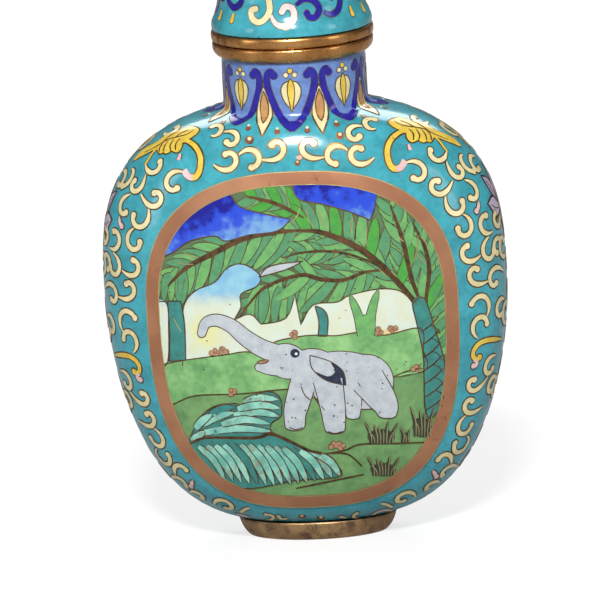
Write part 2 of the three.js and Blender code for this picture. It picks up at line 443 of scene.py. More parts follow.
gilt = metal("worn gilt copper", (228, 170, 104), (198, 138, 80), (116, 76, 44), 0.38, 0.22, 1.4, 7.0)
mouth_swell = [(neck_radius + 0.06, neck_top)] + arc((neck_radius + 0.1, 59.55), (0.95, 1.15), -78, 0, 9)
mouth_edge = arc((rim_radius - 0.35, 59.78), (0.25, 0.3), 0, 84, 5)
mouth_hole = [(mouth_radius + 0.35, mouth_level), (mouth_radius, mouth_level - 0.3), (mouth_radius, neck_top)]
finish_piece(
    "mouth_ring", turned(mouth_swell + mouth_edge + mouth_hole), [gilt], ["mouth_rim"], 40,
)

edge_curve = arc((rim_radius - 0.5, mouth_level + 0.72), (0.5, 0.67), -84, 80, 16, 0.7)
stopper_disc = [(0, mouth_level + 0.08), (rim_radius - 0.5, mouth_level + 0.08)] + edge_curve
stopper_disc += [(rim_radius - 0.45, dome_base - 0.12), (rim_radius - 0.6, dome_base), (0, dome_base)]
finish_piece("stopper_ring", turned(stopper_disc), [gilt], ["stopper_rim"], 40)

# Stopper dome. A bell of thin copper, enamelled like the body and soldered to its rim.
dome_radius = 9.55
waist_radius = 8.65
waist_level = 65.0
dome_top = 71.5
seat_radius = 1.2
flare_points = [(1, 0.15), (0.9, 0.42), (0.1, 0.56), (0, 1)]


def flare(share):
    """The bell's flare, from its foot at 0 to its waist at 1"""
    weights = [(1 - share) ** 3, 3 * share * (1 - share) ** 2, 3 * share**2 * (1 - share), share**3]
    reach = sum(weight * point[0] for weight, point in zip(weights, flare_points))
    rise = sum(weight * point[1] for weight, point in zip(weights, flare_points))
    height = dome_base + (waist_level - dome_base) * rise
    return waist_radius + (dome_radius - waist_radius) * reach, height


last_angle = math.degrees(math.acos(seat_radius / waist_radius))
arc_rise = (dome_top - waist_level) / math.sin(math.radians(last_angle))
flare_steps = 14
bell = [flare(index / flare_steps) for index in range(flare_steps + 1)]
bell += arc((0, waist_level), (waist_radius, arc_rise), 0, last_angle, 26)[1:]
dome_section = [(0, dome_base), (dome_radius - 0.05, dome_base)] + bell + [(0, dome_top)]
finish_piece("dome_shell", turned(dome_section, 144), [turquoise], ["stopper_dome"], 50)

# Stopper button. A small turned copper bead soldered on the dome's top.
button_middle = 72.85
button_top = 74.2
bead_curve = arc((0, button_middle), (1.6, 1.35), -62, 90, 18)[:-1]
button_section = [(0, dome_top), (1.2, dome_top), (1.02, dome_top + 0.16)] + bead_curve + [(0, button_top)]
finish_piece("button_bead", turned(button_section, 64), [gilt], ["stopper_button"], 40)


# Cork. A tapered plug glued under the stopper's rim, brown and pitted.
def cork_colour(paint):
    grain = paint.noise(1.1, 5).within(0.3, 0.7).blend(linear(186, 146, 98), linear(146, 106, 66))
    return (1 - paint.cells(0.7).within(0.12, 0.3)).blend(grain, linear(84, 56, 34))


cork = surface(
    "cork",
    cork_colour,
    lambda paint: paint.noise(0.6) * 0.2 + 0.72,
    {"Specular IOR Level": 0.25},
    lambda paint: paint.cells(0.7) * 0.7 + paint.noise(0.3),
    0.6,
)
cork_tip = 55.7
cork_radius = 3.3
cork_section = [(0, cork_tip), (2.85, cork_tip), (3.02, 55.85), (3.12, 56.2)]
cork_section += [(cork_radius, neck_top), (cork_radius, mouth_level), (0, mouth_level)]
finish_piece("cork_plug", turned(cork_section, 64), [cork], ["stopper_cork"], 40)

# Picture frames. Flat copper bands soldered into both wide sides and ground flush, so they look
# like inlay: reddish, slightly rubbed, with a thin golden line left along each edge.
frame_half_width = 18.45
frame_middle = 29.49
frame_top = 46.05
frame_bottom = 4.75
frame_band = 1.65
frame_sides = 224
band_profile = [
    (-0.04, -0.3), (0.0, 0.08), (0.12, 0.125), (0.82, 0.135), (1.53, 0.125), (frame_band, 0.08), (1.69, -0.3),
]


def frame_edge(angle, inset):
    """The frame's outline in the plane of the picture, drawn inwards by the inset"""
    power = 2 / (2.47 if math.sin(angle) > 0 else 2.75)
    across = math.copysign(abs(math.cos(angle)) ** power, math.cos(angle))
    rise = (frame_top - frame_middle if math.sin(angle) > 0 else frame_middle - frame_bottom) - inset
    climb = math.copysign(abs(math.sin(angle)) ** power, math.sin(angle))
    return (frame_half_width - inset) * across, frame_middle + rise * climb


def front_spot(x, z):
    """The point and the facing of the front skin behind a point of the picture's plane"""
    width, depth, squareness = body_level(z)
    share = max(1 - (abs(x) / width) ** squareness, 0.0001)
    point = Vector((x, -depth * share ** (1 / squareness), z))
    return point, skin_normal(point)


def band_row(inset, lift):
    """One row of the frame's band, at an inset from its outline and a lift over the skin"""

    def place(angle):
        point, normal = front_spot(*frame_edge(angle, inset))
        return point + normal * lift

    return place


def frame_ring():
    """The frame's band on the front, with the skin's facing at each vertex"""
    ring = closed_ring([band_row(*corner) for corner in band_profile], frame_sides)
    facing = ring.verts.layers.float_vector.new("facing")
    for corner in ring.verts:
        corner[facing] = skin_normal(corner.co)
    return ring


def to_back(bm):
    """Turn a mesh half round the bottle's axis"""
    facing = bm.verts.layers.float_vector.get("facing")
    bmesh.ops.rotate(bm, verts=bm.verts, matrix=Matrix.Rotation(math.pi, 3, "Z"))
    for corner in bm.verts:
        if facing:
            corner[facing] = Vector((-corner[facing].x, -corner[facing].y, corner[facing].z))
    return bm


copper = metal(
    "rubbed copper band", (194, 138, 102), (174, 119, 87), (138, 94, 68), 0.2, 0.36, 2.2, bare=0.55,
)
finish_piece("copper_frame_front", frame_ring(), [copper], ["panel_frame_front"], 80)
finish_piece("copper_frame_back", to_back(frame_ring()), [copper], ["panel_frame_back"], 80)

# Scroll border. Bent copper wires stand on edge on the copper and hold the enamel cells, here
# cream scrolls that end in round knobs, chained down both flanks and over the shoulders. Fired,
# ground and polished, cells and wires are flush: each cell is a thin inlay in a dark wire line.
wire_line = 0.155
wire_lift = 0.03
cell_lift = 0.055
inlay_depth = 0.12


def new_layer():
    bm = bmesh.new()
    bm.verts.layers.float_vector.new("facing")
    bm.verts.layers.float.new("along")
    return bm


def thicken(bm):
    """Give a laid sheet its lower side and its rim, so that it is a closed inlay"""
    facing = bm.verts.layers.float_vector["facing"]
    geometry = bm.verts[:] + bm.edges[:] + bm.faces[:]
    made = bmesh.ops.extrude_face_region(bm, geom=geometry, use_keep_orig=True)["geom"]
    for corner in made:
        if isinstance(corner, bmesh.types.BMVert):
            corner.co = corner.co - corner[facing] * inlay_depth
    bmesh.ops.recalc_face_normals(bm, faces=bm.faces)


def merge(layer, bm):
    part = bpy.data.meshes.new("inlay")
    bm.to_mesh(part)
    bm.free()
    layer.from_mesh(part)
    bpy.data.meshes.remove(part)


def strip(layer, spots, reach, lift):
    """An inlay along a line of points and facings; reach gives its half width along the way"""
    bm = new_layer()
    facing = bm.verts.layers.float_vector["facing"]
    along = bm.verts.layers.float["along"]
    last = len(spots) - 1
    for corner in bmesh.ops.create_grid(bm, x_segments=last, y_segments=2, size=1)["verts"]:
        index = round((corner.co.x + 1) / 2 * last)
        across = round(corner.co.y)
        point, normal = spots[index]
        way = spots[min(index + 1, last)][0] - spots[max(index - 1, 0)][0]
        side = way.cross(normal).normalized()
        corner[facing] = normal
        corner[along] = index / last
        corner.co = point + side * (across * reach(index / last)) + normal * lift
    thicken(bm)
    merge(layer, bm)


def disc(layer, spot, radius, lift, sides=16):
    point, normal = spot
    east = Vector((0, 0, 1)).cross(normal).normalized()
    north = normal.cross(east)
    bm = new_layer()
    facing = bm.verts.layers.float_vector["facing"]
    along = bm.verts.layers.float["along"]
    for corner in bmesh.ops.create_circle(bm, cap_ends=True, segments=sides, radius=radius)["verts"]:
        corner.co = point + east * corner.co.x + north * corner.co.y + normal * lift
        corner[facing] = normal
        corner[along] = 1
    thicken(bm)
    merge(layer, bm)


def walk(start, heading, length, turn, growth, steps=22):
    """A line on the skin from an angle and height. It starts towards a heading, in degrees from
    up towards the right, and curls by the whole turn, faster at its end as growth rises"""
    point = oval_point(start[1], math.radians(start[0]))
    normal = skin_normal(point)
    east = Vector((0, 0, 1)).cross(normal).normalized()
    north = normal.cross(east)
    way = north * math.cos(math.radians(heading)) + east * math.sin(math.radians(heading))
    spots = [(point, normal)]
    bent = 0
    for index in range(steps):
        bend = math.radians(turn) * ((index + 0.5) / steps) ** growth
        way = way * math.cos(bend - bent) + way.cross(normal) * math.sin(bend - bent)
        bent = bend
        point = settle(point + way * (length / steps))
        normal = skin_normal(point)
        way = (way - normal * way.dot(normal)).normalized()
        spots.append((point, normal))
    return spots


def bead(wires, cells, spot, radius, rim, low=wire_lift, high=cell_lift, sides=16):
    """A round cell over a larger disc, which shows as the wire round it"""
    disc(wires, spot, radius + rim, low, sides)
    disc(cells, spot, radius, high, sides)


def scroll(wires, cells, spots, band, knob, rim, tail=0.5, widening=2):
    """A band along spots that widens from its tail, as a share of its width, to a round knob"""

    def reach(share):
        return band * min(1, tail + widening * share)

    strip(wires, spots, lambda share: reach(share) + rim, wire_lift)
    strip(cells, spots, reach, cell_lift)
    bead(wires, cells, spots[-1], knob, rim)


def curl(wires, cells, start, heading, length, turn, growth=1.5, band=0.29, knob=0.38):
    """A scroll of the border, which starts at an angle and height and curls up"""
    scroll(wires, cells, walk(start, heading, length, turn, growth), band, knob, wire_line, 0.3, 2.4)


def on_both_flanks(layer):
    """Repeat the right half of one wide side on its left"""
    mirrored = layer.copy()
    facing = mirrored.verts.layers.float_vector["facing"]
    for corner in mirrored.verts:
        corner[facing] = Vector((-corner[facing].x, corner[facing].y, corner[facing].z))
    bmesh.ops.scale(mirrored, vec=(-1, 1, 1), verts=mirrored.verts)
    bmesh.ops.reverse_faces(mirrored, faces=mirrored.faces)
    merge(layer, mirrored)


def on_both_sides(layer):
    """Repeat the front on the back"""
    merge(layer, to_back(layer.copy()))


def all_round(*layers):
    """Repeat the right half of the front on its left, and both on the back"""
    for layer in layers:
        on_both_flanks(layer)
        on_both_sides(layer)


def finish_cells(*pieces):
    """Finish enamel pieces, each given by its name, layer and glass"""
    for name, layer, glass in pieces:
        finish_piece(name, layer, [glass])


border_wires, cream_cells, yellow_cells, pink_cells = [new_layer() for _ in range(4)]
border_scrolls = [
    ((38, 46.1), 80, 5.0, 235, 1.5), ((62.4, 46.5), -135, 4.0, 190, 1.7),
    ((57.5, 45.5), -175, 4.6, -245, 1.9), ((54.5, 43.3), -140, 5.5, 265, 2.0),
    ((47.8, 41.7), -170, 4.9, -215, 1.5), ((61.8, 43.1), 110, 4.2, 205, 1.75),
    ((53.9, 39.3), 120, 5.0, 245, 1.4), ((72.2, 45.7), -40, 3.7, -220, 0.55),
    ((71, 36.5), -105, 4.6, 215, 1.4), ((60.2, 34.1), -120, 4.6, 210, 1.75),
    ((67.4, 36), -110, 5.2, -250, 1.4), ((64, 30.8), -100, 5.2, 235, 2.1),
    ((79.4, 31.3), -57, 6.0, -255, 2.0), ((62.6, 26.6), 45, 5.1, -195, 1.05),
    ((57.5, 24.2), -52, 5.0, 230, 1.25), ((73.5, 21.4), -80, 5.0, -260, 1.5),
    ((68.7, 19), -135, 5.3, 255, 2.5), ((70.5, 15.3), -110, 5.5, 250, 2.5),
    ((58.2, 14.7), -113, 5.1, -240, 1.15), ((65, 11.9), 110, 5.3, 260, 0.9),
    ((62.9, 8.6), -20, 3.6, -148, 1.9), ((72.7, 7.9), -70, 3.7, -178, 2.3),
    ((65.6, 6.2), -68, 3.0, -185, 2.2), ((54, 4.8), -33, 5.2, -270, 1.6), ((9.3, 47.5), -98, 5.3, 250, 1.9),
    ((18.4, 48.1), -43, 4.7, -222, 1.3), ((26.6, 47), -127, 5.4, 255, 1.6),
    ((34.2, 50.5), -73, 4.3, -252, 1.65), ((39, 50.1), -122, 3.6, 248, 0.8),
]
for start, heading, length, turn, growth in border_scrolls:
    curl(border_wires, cream_cells, start, heading, length, turn, growth)
curl(border_wires, yellow_cells, (79.3, 23.1), -81, 8.0, -240, 4.0)
pink_hooks = [((65.1, 40.4), 180, 1.3, 60), ((56.4, 21.4), 54, 1.4, 245), ((50.9, 8.2), 144, 1.5, 0)]
for start, heading, length, turn in pink_hooks:
    curl(border_wires, pink_cells, start, heading, length, turn, 1, 0.24, 0.34)
all_round(border_wires, cream_cells, yellow_cells, pink_cells)
wire_bronze = metal("dark wire", (146, 110, 62), (106, 84, 50), (54, 46, 32), 0.65, 0.4, 0.9)
cream = enamel("cream enamel", (240, 226, 176), (214, 202, 150), 1.6, 0.8, 0.14, 11.0)
yellow = enamel("yellow enamel", (236, 206, 88), (210, 174, 62), 1.4, 0.8, 0.14, 12.0)
pink = enamel("pink enamel", (236, 206, 204), (214, 176, 172), 1.4, 0.8, 0.14, 13.0)
finish_piece("border_wires", border_wires, [wire_bronze])
finish_cells(
    ("border_cream_cells", cream_cells, cream), ("border_yellow_cells", yellow_cells, yellow),
    ("border_pink_cells", pink_cells, pink),
)

# Shoulder leaves. On each shoulder a yellow acanthus leaf lies across the border; its lobes are
# split by dark wires, and from its foot a yellow hook turns pink. Their places are read in the
# front view, from a little above, and laid on the skin along that line of sight.
sight_turn = math.radians(3.5)
sight_drop = math.radians(11.6)
sight_roll = math.radians(3.1)
dot_size = 0.1192
to_right = Vector((math.cos(sight_turn), math.sin(sight_turn), 0))
to_front = Vector((-math.sin(sight_turn), math.cos(sight_turn), 0)) * math.cos(sight_drop)
to_front.z = -math.sin(sight_drop)
to_top = to_right.cross(to_front)
aim = Vector((0, 0, 28.2)) - 0.787 * to_right
sight_length = 1000
sight = aim - sight_length * to_front


def seen_at(across, down):
    """The front skin's point and facing behind a place in the front view, 600 dots wide"""
    level = (across - 300) * math.cos(sight_roll) - (down - 300) * math.sin(sight_roll)
    plumb = (across - 300) * math.sin(sight_roll) + (down - 300) * math.cos(sight_roll)
    line = aim + to_right * (level * dot_size) - to_top * (plumb * dot_size) - sight
    depth = -half_depth
    for _ in range(9):
        point = sight + line * ((depth - sight.y) / line.y)
        depth = front_spot(point.x, point.z)[0].y
    return front_spot(point.x, point.z)


def smooth_line(points, closed=False, steps=5):
    """A smooth curve through points; a point given twice makes a corner"""
    last = len(points)
    curve = []
    for index in range(last if closed else last - 1):
        ends = [index - 1, index, index + 1, index + 2]
        near = [points[end % last] if closed else points[min(max(end, 0), last - 1)] for end in ends]
        before, first, second, after = [Vector(point) for point in near]
        if first == second:
            continue
        for step in range(steps):
            t = step / steps
            square = (2 * before - 5 * first + 4 * second - after) * t**2
            cube = (3 * first - before - 3 * second + after) * t**3
            curve.append(0.5 * (2 * first + (second - before) * t + square + cube))
    if not closed:
        curve.append(Vector(points[-1]))
    return curve


def lay_line(chart, points, steps=5):
    return [chart(*point) for point in smooth_line(points, False, steps)]


def patch(layer, chart, outline, lift, pitch, steps=5):
    """A flat shape cut into small fields and laid on the skin as a closed inlay"""
    bm = new_layer()
    facing = bm.verts.layers.float_vector["facing"]
    bm.faces.new([bm.verts.new((point.x, point.y, 0)) for point in smooth_line(outline, True, steps)])
    for axis in range(2):
        places = [corner.co[axis] for corner in bm.verts]
        direction = Vector((1 - axis, axis, 0))
        for index in range(math.ceil(min(places) / pitch), math.floor(max(places) / pitch) + 1):
            geometry = bm.verts[:] + bm.edges[:] + bm.faces[:]
            cut = {"plane_co": direction * index * pitch, "plane_no": direction}
            bmesh.ops.bisect_plane(bm, geom=geometry, dist=1e-4, **cut)
    bmesh.ops.triangulate(bm, faces=bm.faces)
    for corner in bm.verts:
        point, normal = chart(corner.co.x, corner.co.y)
        corner.co = point + normal * lift
        corner[facing] = normal
    thicken(bm)
    merge(layer, bm)


def line(layer, chart, points, thickness, lift, taper=0.0, steps=5):
    """A wire laid on the skin through points, thinner at its ends by the taper"""
    spots = lay_line(chart, points, steps)
    strip(layer, spots, lambda share: thickness * (1 - taper * abs(2 * share - 1) ** 2), lift)


def walled(cells, wires, chart, outline, lift, pitch, thickness, rise, steps=4, wire_steps=None):
    """A cell with a wire bent round it, which lies over the glass by the rise"""
    patch(cells, chart, outline, lift, pitch, steps=steps)
    line(wires, chart, outline + outline[:1], thickness, lift + rise, steps=wire_steps or steps)


leaf_wires, leaf_cells, leaf_tips = [new_layer() for _ in range(3)]
leaf_outline = [
    (461, 147), (453, 139.5), (443, 134), (435.5, 131), (426.5, 126), (418, 123), (409, 121), (399, 118.6),
    (391, 120), (388.6, 122.5), (391.5, 126), (399, 130), (405.5, 131.5), (406.3, 136.5), (409, 141),
    (412.8, 142.4), (418.2, 140), (420, 141.6), (423.8, 142.6), (427, 141.2), (429, 142.3), (431.4, 141.5),
    (434.2, 137.2), (438, 138), (444, 140.2), (453, 143.8),
]
patch(leaf_wires, seen_at, leaf_outline, wire_lift + 0.01, 4)
patch(leaf_cells, seen_at, leaf_outline, cell_lift + 0.015, 4)
line(leaf_wires, seen_at, leaf_outline + leaf_outline[:1], 0.17, wire_lift + 0.02)
leaf_spine = [(394, 121.5), (402, 125.5), (414, 127.5), (424, 129.5), (433, 134), (448, 140)]
line(leaf_wires, seen_at, leaf_spine, 0.11, 0.08, 0.6)
leaf_veins = [
    [(408.5, 129), (413, 134), (413.2, 140.5)], [(415.5, 129), (419.3, 135), (418.4, 140)],
    [(421.5, 130), (425.5, 135.5), (426.6, 140.8)], [(427, 131.5), (430.6, 136), (431.2, 140.6)],
    [(400, 121), (408, 124), (414, 127.2)], [(410, 121.6), (420, 125.5), (428, 131)],
]
for vein in leaf_veins:
    line(leaf_wires, seen_at, vein, 0.1, 0.08, 0.5)
hook_points = [
    (407, 131.6), (400.4, 132), (391.8, 138.6), (387.2, 149), (388.2, 160), (392, 167.4), (397.4, 168.8),
    (402, 166), (405, 160.6),
]
tail_points = [(435, 137), (439.5, 141.5), (443.5, 147), (447, 151.5)]
drop_points = [(408.5, 144.2), (409.2, 147), (410.6, 150)]
hook = lay_line(seen_at, hook_points)
leaf_tail = lay_line(seen_at, tail_points)
leaf_drop = lay_line(seen_at, drop_points)
strip(leaf_wires, hook, lambda share: 0.4 + 0.1 * math.sin(math.pi * share), wire_lift)
strip(leaf_cells, hook[:30], lambda share: 0.24 + 0.12 * share, cell_lift)
strip(leaf_tips, hook[29:], lambda share: 0.36 + 0.04 * share, cell_lift + 0.002)
strip(leaf_wires, leaf_tail, lambda share: 0.3, wire_lift)
strip(leaf_cells, leaf_tail, lambda share: 0.16, cell_lift)
strip(leaf_wires, leaf_drop, lambda share: 0.28 + 0.12 * share, wire_lift)
strip(leaf_tips, leaf_drop, lambda share: 0.14 + 0.14 * share, cell_lift)
all_round(leaf_wires, leaf_cells, leaf_tips)
finish_piece("leaf_wires", leaf_wires, [wire_bronze])
finish_cells(("leaf_yellow_cells", leaf_cells, yellow), ("leaf_pink_cells", leaf_tips, pink))

# Neck lappets. Eight pointed lappets in cobalt hang round the neck and run onto the shoulder,
# each over a periwinkle field with a small cream and yellow bud, with a tan petal between each
# two. Places are millimetres round the neck and down from its top, from a lappet's middle.
lappets = 8
lappet_pitch = 2 * math.pi * neck_radius / lappets


@functools.lru_cache(None)
def neck_line(angle):
    """The line from the neck's top down over the soft corner and the shoulder, running on almost
    straight as it is seen from the wide side"""
    way = Vector((0.4 * math.sin(angle), -math.cos(angle), 0)).normalized()
    aside = Vector((-way.y, way.x, 0))
    points = [round_point(neck_radius, height, angle) for height in (neck_top, shoulder_top + neck_fillet)]
    turned = angle
    for index in range(1, 11):
        for _ in range(5):
            spot = neck_corner(1 - index / 10, turned)
            turned -= (spot - points[0]).dot(aside) / neck_radius / 1.25
        points.append(spot)
    for _ in range(12):
        normal = skin_normal(points[-1])
        points.append(settle(points[-1] + (way - normal * way.dot(normal)).normalized() * 0.3))
    return points


def on_neck(around, down):
    """The skin's point and facing at a place on the neck or just below it"""
    angle = round(around / neck_radius, 4)
    points = neck_line(angle)
    left = max(down, 0.001)
    for upper, lower in zip(points, points[1:]):
        step = lower - upper
        if left <= step.length:
            break
        left -= step.length
    facing = skin_normal(lower)
    return upper + step.normalized() * left, step.cross(Vector((-facing.y, facing.x, 0))).normalized()


def beside(chart, offset):
    """The same chart, begun further round the bottle"""
    return lambda around, level: chart(offset + around, level)


def mirrored_points(points):
    return [(-across, level) for across, level in points]


def even(points):
    """A whole outline from one half of it, whose points in the middle aren't repeated"""
    return points + [(-across, level) for across, level in reversed(points) if across]


lappet_field = even([
    (0, 0.02), (3.3, 0.02), (3.3, 0.02), (3.32, 2.6), (3.32, 2.6), (2.75, 3.7), (1.9, 5.6), (1.0, 7.2),
    (0, 8.1),
])
lappet_arm = [
    (2.0, 1.35), (2.3, 0.92), (2.72, 1.2), (2.86, 2.1), (2.62, 3.4), (1.95, 5.2), (1.15, 6.7), (0.45, 7.8),
    (0.05, 8.5),
]
lappet_tip = even([(0, 7.1), (0.7, 7.1), (0.35, 7.8), (0, 8.5)])
bud_side = [(0.08, 2.0), (0.8, 2.3), (1.2, 3.2), (0.88, 4.4), (0.14, 5.4), (0.14, 5.4), (0.36, 3.6)]
bud_heart = even([(0, 1.75), (0.34, 2.4), (0.42, 3.5), (0.22, 4.8), (0, 5.8)])
petal = even([(0, 2.6), (0, 2.6), (0.66, 4.0), (1.0, 5.5), (0.82, 7.2), (0, 9.3), (0, 9.3)])
petal_heart = even([(0, 3.2), (0, 3.2), (0.46, 4.5), (0.52, 5.6), (0.3, 6.8), (0, 7.5), (0, 7.5)])
neck_wires, neck_field, neck_cobalt, neck_cream = [new_layer() for _ in range(4)]
neck_yellow, neck_tan, neck_beads = [new_layer() for _ in range(3)]


def arm_width(share):
    """Half the width of a lappet's arm, which ends in a point"""
    return (0.33 + 0.1 * share) * min(1, 0.1 + 6 * (1 - share))


for lappet in range(lappets):
    lappet_chart = beside(on_neck, lappet * lappet_pitch)
    petal_chart = beside(on_neck, (lappet + 0.5) * lappet_pitch)
    patch(neck_field, lappet_chart, lappet_field, 0.02, 0.45, steps=3)
    for arm in (lappet_arm, mirrored_points(lappet_arm)):
        spots = lay_line(lappet_chart, arm, 7)
        strip(neck_wires, spots, lambda share: arm_width(share) + 0.09, 0.035)
        strip(neck_cobalt, spots, arm_width, cell_lift)
        bead(neck_wires, neck_cobalt, spots[0], 0.45, 0.09, 0.035)
    patch(neck_cobalt, lappet_chart, lappet_tip, cell_lift + 0.002, 0.4, steps=3)
    for side, bead_place in ((bud_side, 0.52), (mirrored_points(bud_side), -0.52)):
        walled(neck_cream, neck_wires, lappet_chart, side, 0.045, 0.7, 0.065, 0.015, 3)
        bead(neck_wires, neck_cream, lappet_chart(bead_place, 1.35), 0.27, 0.1, 0.035, 0.05)
    bead(neck_wires, neck_yellow, lappet_chart(0, 0.85), 0.27, 0.09, 0.035, 0.05)
    walled(neck_yellow, neck_wires, lappet_chart, bud_heart, 0.065, 0.7, 0.06, 0.01, 3)
    walled(neck_cream, neck_wires, petal_chart, petal, 0.045, 0.4, 0.1, 0.005, 4, 6)
    walled(neck_tan, neck_wires, petal_chart, petal_heart, 0.06, 0.4, 0.07, 0.01, 4, 6)
    for across in (-lappet_pitch / 4, lappet_pitch / 4):
        bead(neck_wires, neck_beads, lappet_chart(across, 8.5), 0.27, 0.09, 0.035)
        disc(neck_cream, lappet_chart(across, 8.1), 0.17, 0.065)
periwinkle = enamel("periwinkle enamel", (112, 146, 204), (92, 118, 178), 1.2, 0.8, 0.14, 21.0)
cobalt = enamel("cobalt enamel", (40, 34, 160), (26, 22, 118), 1.2, 0.6, 0.13, 22.0)
tan = enamel("tan enamel", (206, 156, 102), (180, 128, 78), 1.2, 0.8, 0.16, 23.0)
rust = enamel("rust enamel", (150, 84, 66), (118, 62, 48), 1.2, 0.8, 0.18, 24.0)
finish_piece("neck_wires", neck_wires, [wire_bronze])
finish_cells(
    ("neck_periwinkle_field", neck_field, periwinkle), ("neck_cobalt_lappets", neck_cobalt, cobalt),
    ("neck_cream_cells", neck_cream, cream), ("neck_yellow_cells", neck_yellow, yellow),
    ("neck_tan_petals", neck_tan, tan), ("neck_rust_beads", neck_beads, rust),
)

# Stopper scrolls. The dome carries the same kind of cells: cream and pale scrolls in front,
# thick cobalt ones beside them and yellow drops, the set repeated three times round it, and
# under the button a ring of petals. Places are millimetres round its waist and up from its rim.
dome_sets = 3
dome_pitch = 2 * math.pi * waist_radius / dome_sets
petals_on_top = 9


def on_dome(around, up):
    """The dome's point and facing at a place on it"""
    left = max(up, 0.001)
    for (radius, height), (next_radius, next_height) in zip(bell, bell[1:]):
        length = math.hypot(next_radius - radius, next_height - height)
        if left <= length:
            break
        left -= length
    share = left / length
    angle = around / waist_radius
    point = round_point(
        radius + (next_radius - radius) * share, height + (next_height - height) * share, angle,
    )
    rise = round_point(next_radius - radius, next_height - height, angle)
    return point, Vector((math.cos(angle), math.sin(angle), 0)).cross(rise).normalized()


dome_wires, dome_cream, dome_pale, dome_cobalt, dome_yellow = [new_layer() for _ in range(5)]
dome_scrolls = [
    (
        dome_cream, 0.36,
        [
            (-2.9, 5.9), (-2.5, 5.0), (-2.1, 4.1), (-2.0, 2.8), (-2.6, 1.7), (-3.4, 1.35), (-4.2, 1.9),
            (-4.35, 2.7), (-3.75, 2.95),
        ],
    ),
    (
        dome_pale, 0.36,
        [(-1.85, 2.2), (-1.2, 1.15), (0.0, 0.85), (0.8, 1.8), (0.7, 2.9), (-0.1, 3.2), (-0.55, 2.6)],
    ),
    (
        dome_cobalt, 0.35,
        [(1.1, 3.3), (2.15, 3.9), (3.25, 3.7), (3.9, 2.6), (3.3, 1.7), (2.6, 1.75), (2.35, 2.3)],
    ),
    (dome_cobalt, 0.35, [(4.4, 2.2), (5.3, 1.75), (6.4, 2.2), (6.9, 3.3), (6.3, 4.1), (5.7, 3.8)]),
    (dome_cobalt, 0.35, [(-8.0, 4.6), (-8.15, 3.6), (-7.1, 2.9), (-5.95, 3.5), (-5.9, 4.5), (-6.6, 4.9)]),
    (dome_cobalt, 0.36, [(7.4, 4.6), (8.1, 3.8), (8.9, 4.0), (9.1, 4.8)]),
    (dome_cobalt, 0.35, [(-5.3, 6.0), (-4.4, 5.2), (-3.6, 5.4), (-3.5, 6.2)]),
    (dome_cream, 0.34, [(2.9, 7.4), (1.9, 8.0), (0.6, 7.7), (0.1, 6.6), (0.8, 5.8), (1.5, 6.1)]),
    (dome_pale, 0.34, [(-7.6, 6.2), (-6.6, 6.9), (-5.6, 7.9), (-6.3, 8.9), (-7.2, 8.6), (-7.0, 7.9)]),
    (dome_cobalt, 0.34, [(4.2, 5.4), (4.4, 6.6), (5.5, 7.5), (6.8, 7.0), (6.7, 5.9), (5.9, 5.8)]),
]
dome_drops = [
    ((-7.05, 1.3), (-7.05, 2.2)), ((2.7, 5.0), (3.3, 5.9)), ((8.4, 1.3), (8.4, 2.3)),
    ((-1.5, 6.6), (-1.9, 7.7)),
]
for number in range(dome_sets):
    set_chart = beside(on_dome, number * dome_pitch)
    for cells, band, points in dome_scrolls:
        scroll(dome_wires, cells, lay_line(set_chart, points), band, band, 0.09)
    for foot, top in dome_drops:
        drop = lay_line(set_chart, [foot, ((foot[0] + top[0]) / 2, (foot[1] + top[1]) / 2), top])
        strip(dome_wires, drop, lambda share: 0.42 - 0.16 * share, wire_lift)
        strip(dome_yellow, drop, lambda share: 0.32 - 0.16 * share, cell_lift)
        bead(dome_wires, dome_yellow, drop[0], 0.32, 0.1)
top_petal = even([(0, 0.4), (0, 0.4), (0.9, 1.6), (0.8, 2.9), (0.25, 4.0)])
bell_length = sum(math.hypot(b[0] - a[0], b[1] - a[1]) for a, b in zip(bell, bell[1:]))
petal_ring = bell_length - 5.4


def top_chart(offset):
    """The dome's top, measured towards the button and true in width"""

    def spot(across, up):
        radius = Vector(on_dome(0, up + petal_ring)[0][:2]).length
        return on_dome(offset + across * waist_radius / max(radius, 1.5), up + petal_ring)

    return spot


for number in range(petals_on_top):
    petal_chart = top_chart(number * 2 * math.pi * waist_radius / petals_on_top)
    cells = dome_cobalt if number % 3 == 0 else dome_cream
    walled(cells, dome_wires, petal_chart, top_petal, cell_lift, 0.8, 0.11, 0.01, 3)
pale = enamel("pale enamel", (238, 222, 214), (218, 196, 196), 1.6, 0.7, 0.13, 31.0)
finish_piece("stopper_wires", dome_wires, [wire_bronze])
finish_cells(
    ("stopper_cream_cells", dome_cream, cream), ("stopper_pale_cells", dome_pale, pale),
    ("stopper_cobalt_cells", dome_cobalt, cobalt), ("stopper_yellow_drops", dome_yellow, yellow),
)

# Small ornaments of the wide sides. Short cream and pink scrolls and rust beads, each in a wire
# of its own, fill the border's narrow places under the neck and above the foot.
small_wires, small_cream, small_pink, small_rust = [new_layer() for _ in range(4)]
short_scrolls = [
    [(266, 519.5), (271, 519.3), (273.5, 517.5), (271.5, 515), (266, 514.2)],
    [(287.5, 518), (282, 518.8), (278.8, 516)], [(250, 507.5), (245.5, 508.8), (241.5, 511.5)],
    [(369, 516), (361, 518), (355.5, 517.8), (353.5, 515.6), (356.8, 513)], [(346.5, 517.5), (341, 516.6)],
    [(381, 503.5), (386, 504), (391, 506.5)],
]
pink_scrolls = [
    [(250.5, 517.3), (244, 515.2), (238, 513.8)], [(392, 510.6), (385.7, 509.6), (378, 511.4), (373.6, 514)],
    [(296.5, 157.5), (299.5, 157.5)],
]
rust_beads = [(302, 516.5, 0.34), (321, 518, 0.36), (249.5, 140, 0.4), (340, 135.5, 0.36), (297.5, 163, 0.22)]
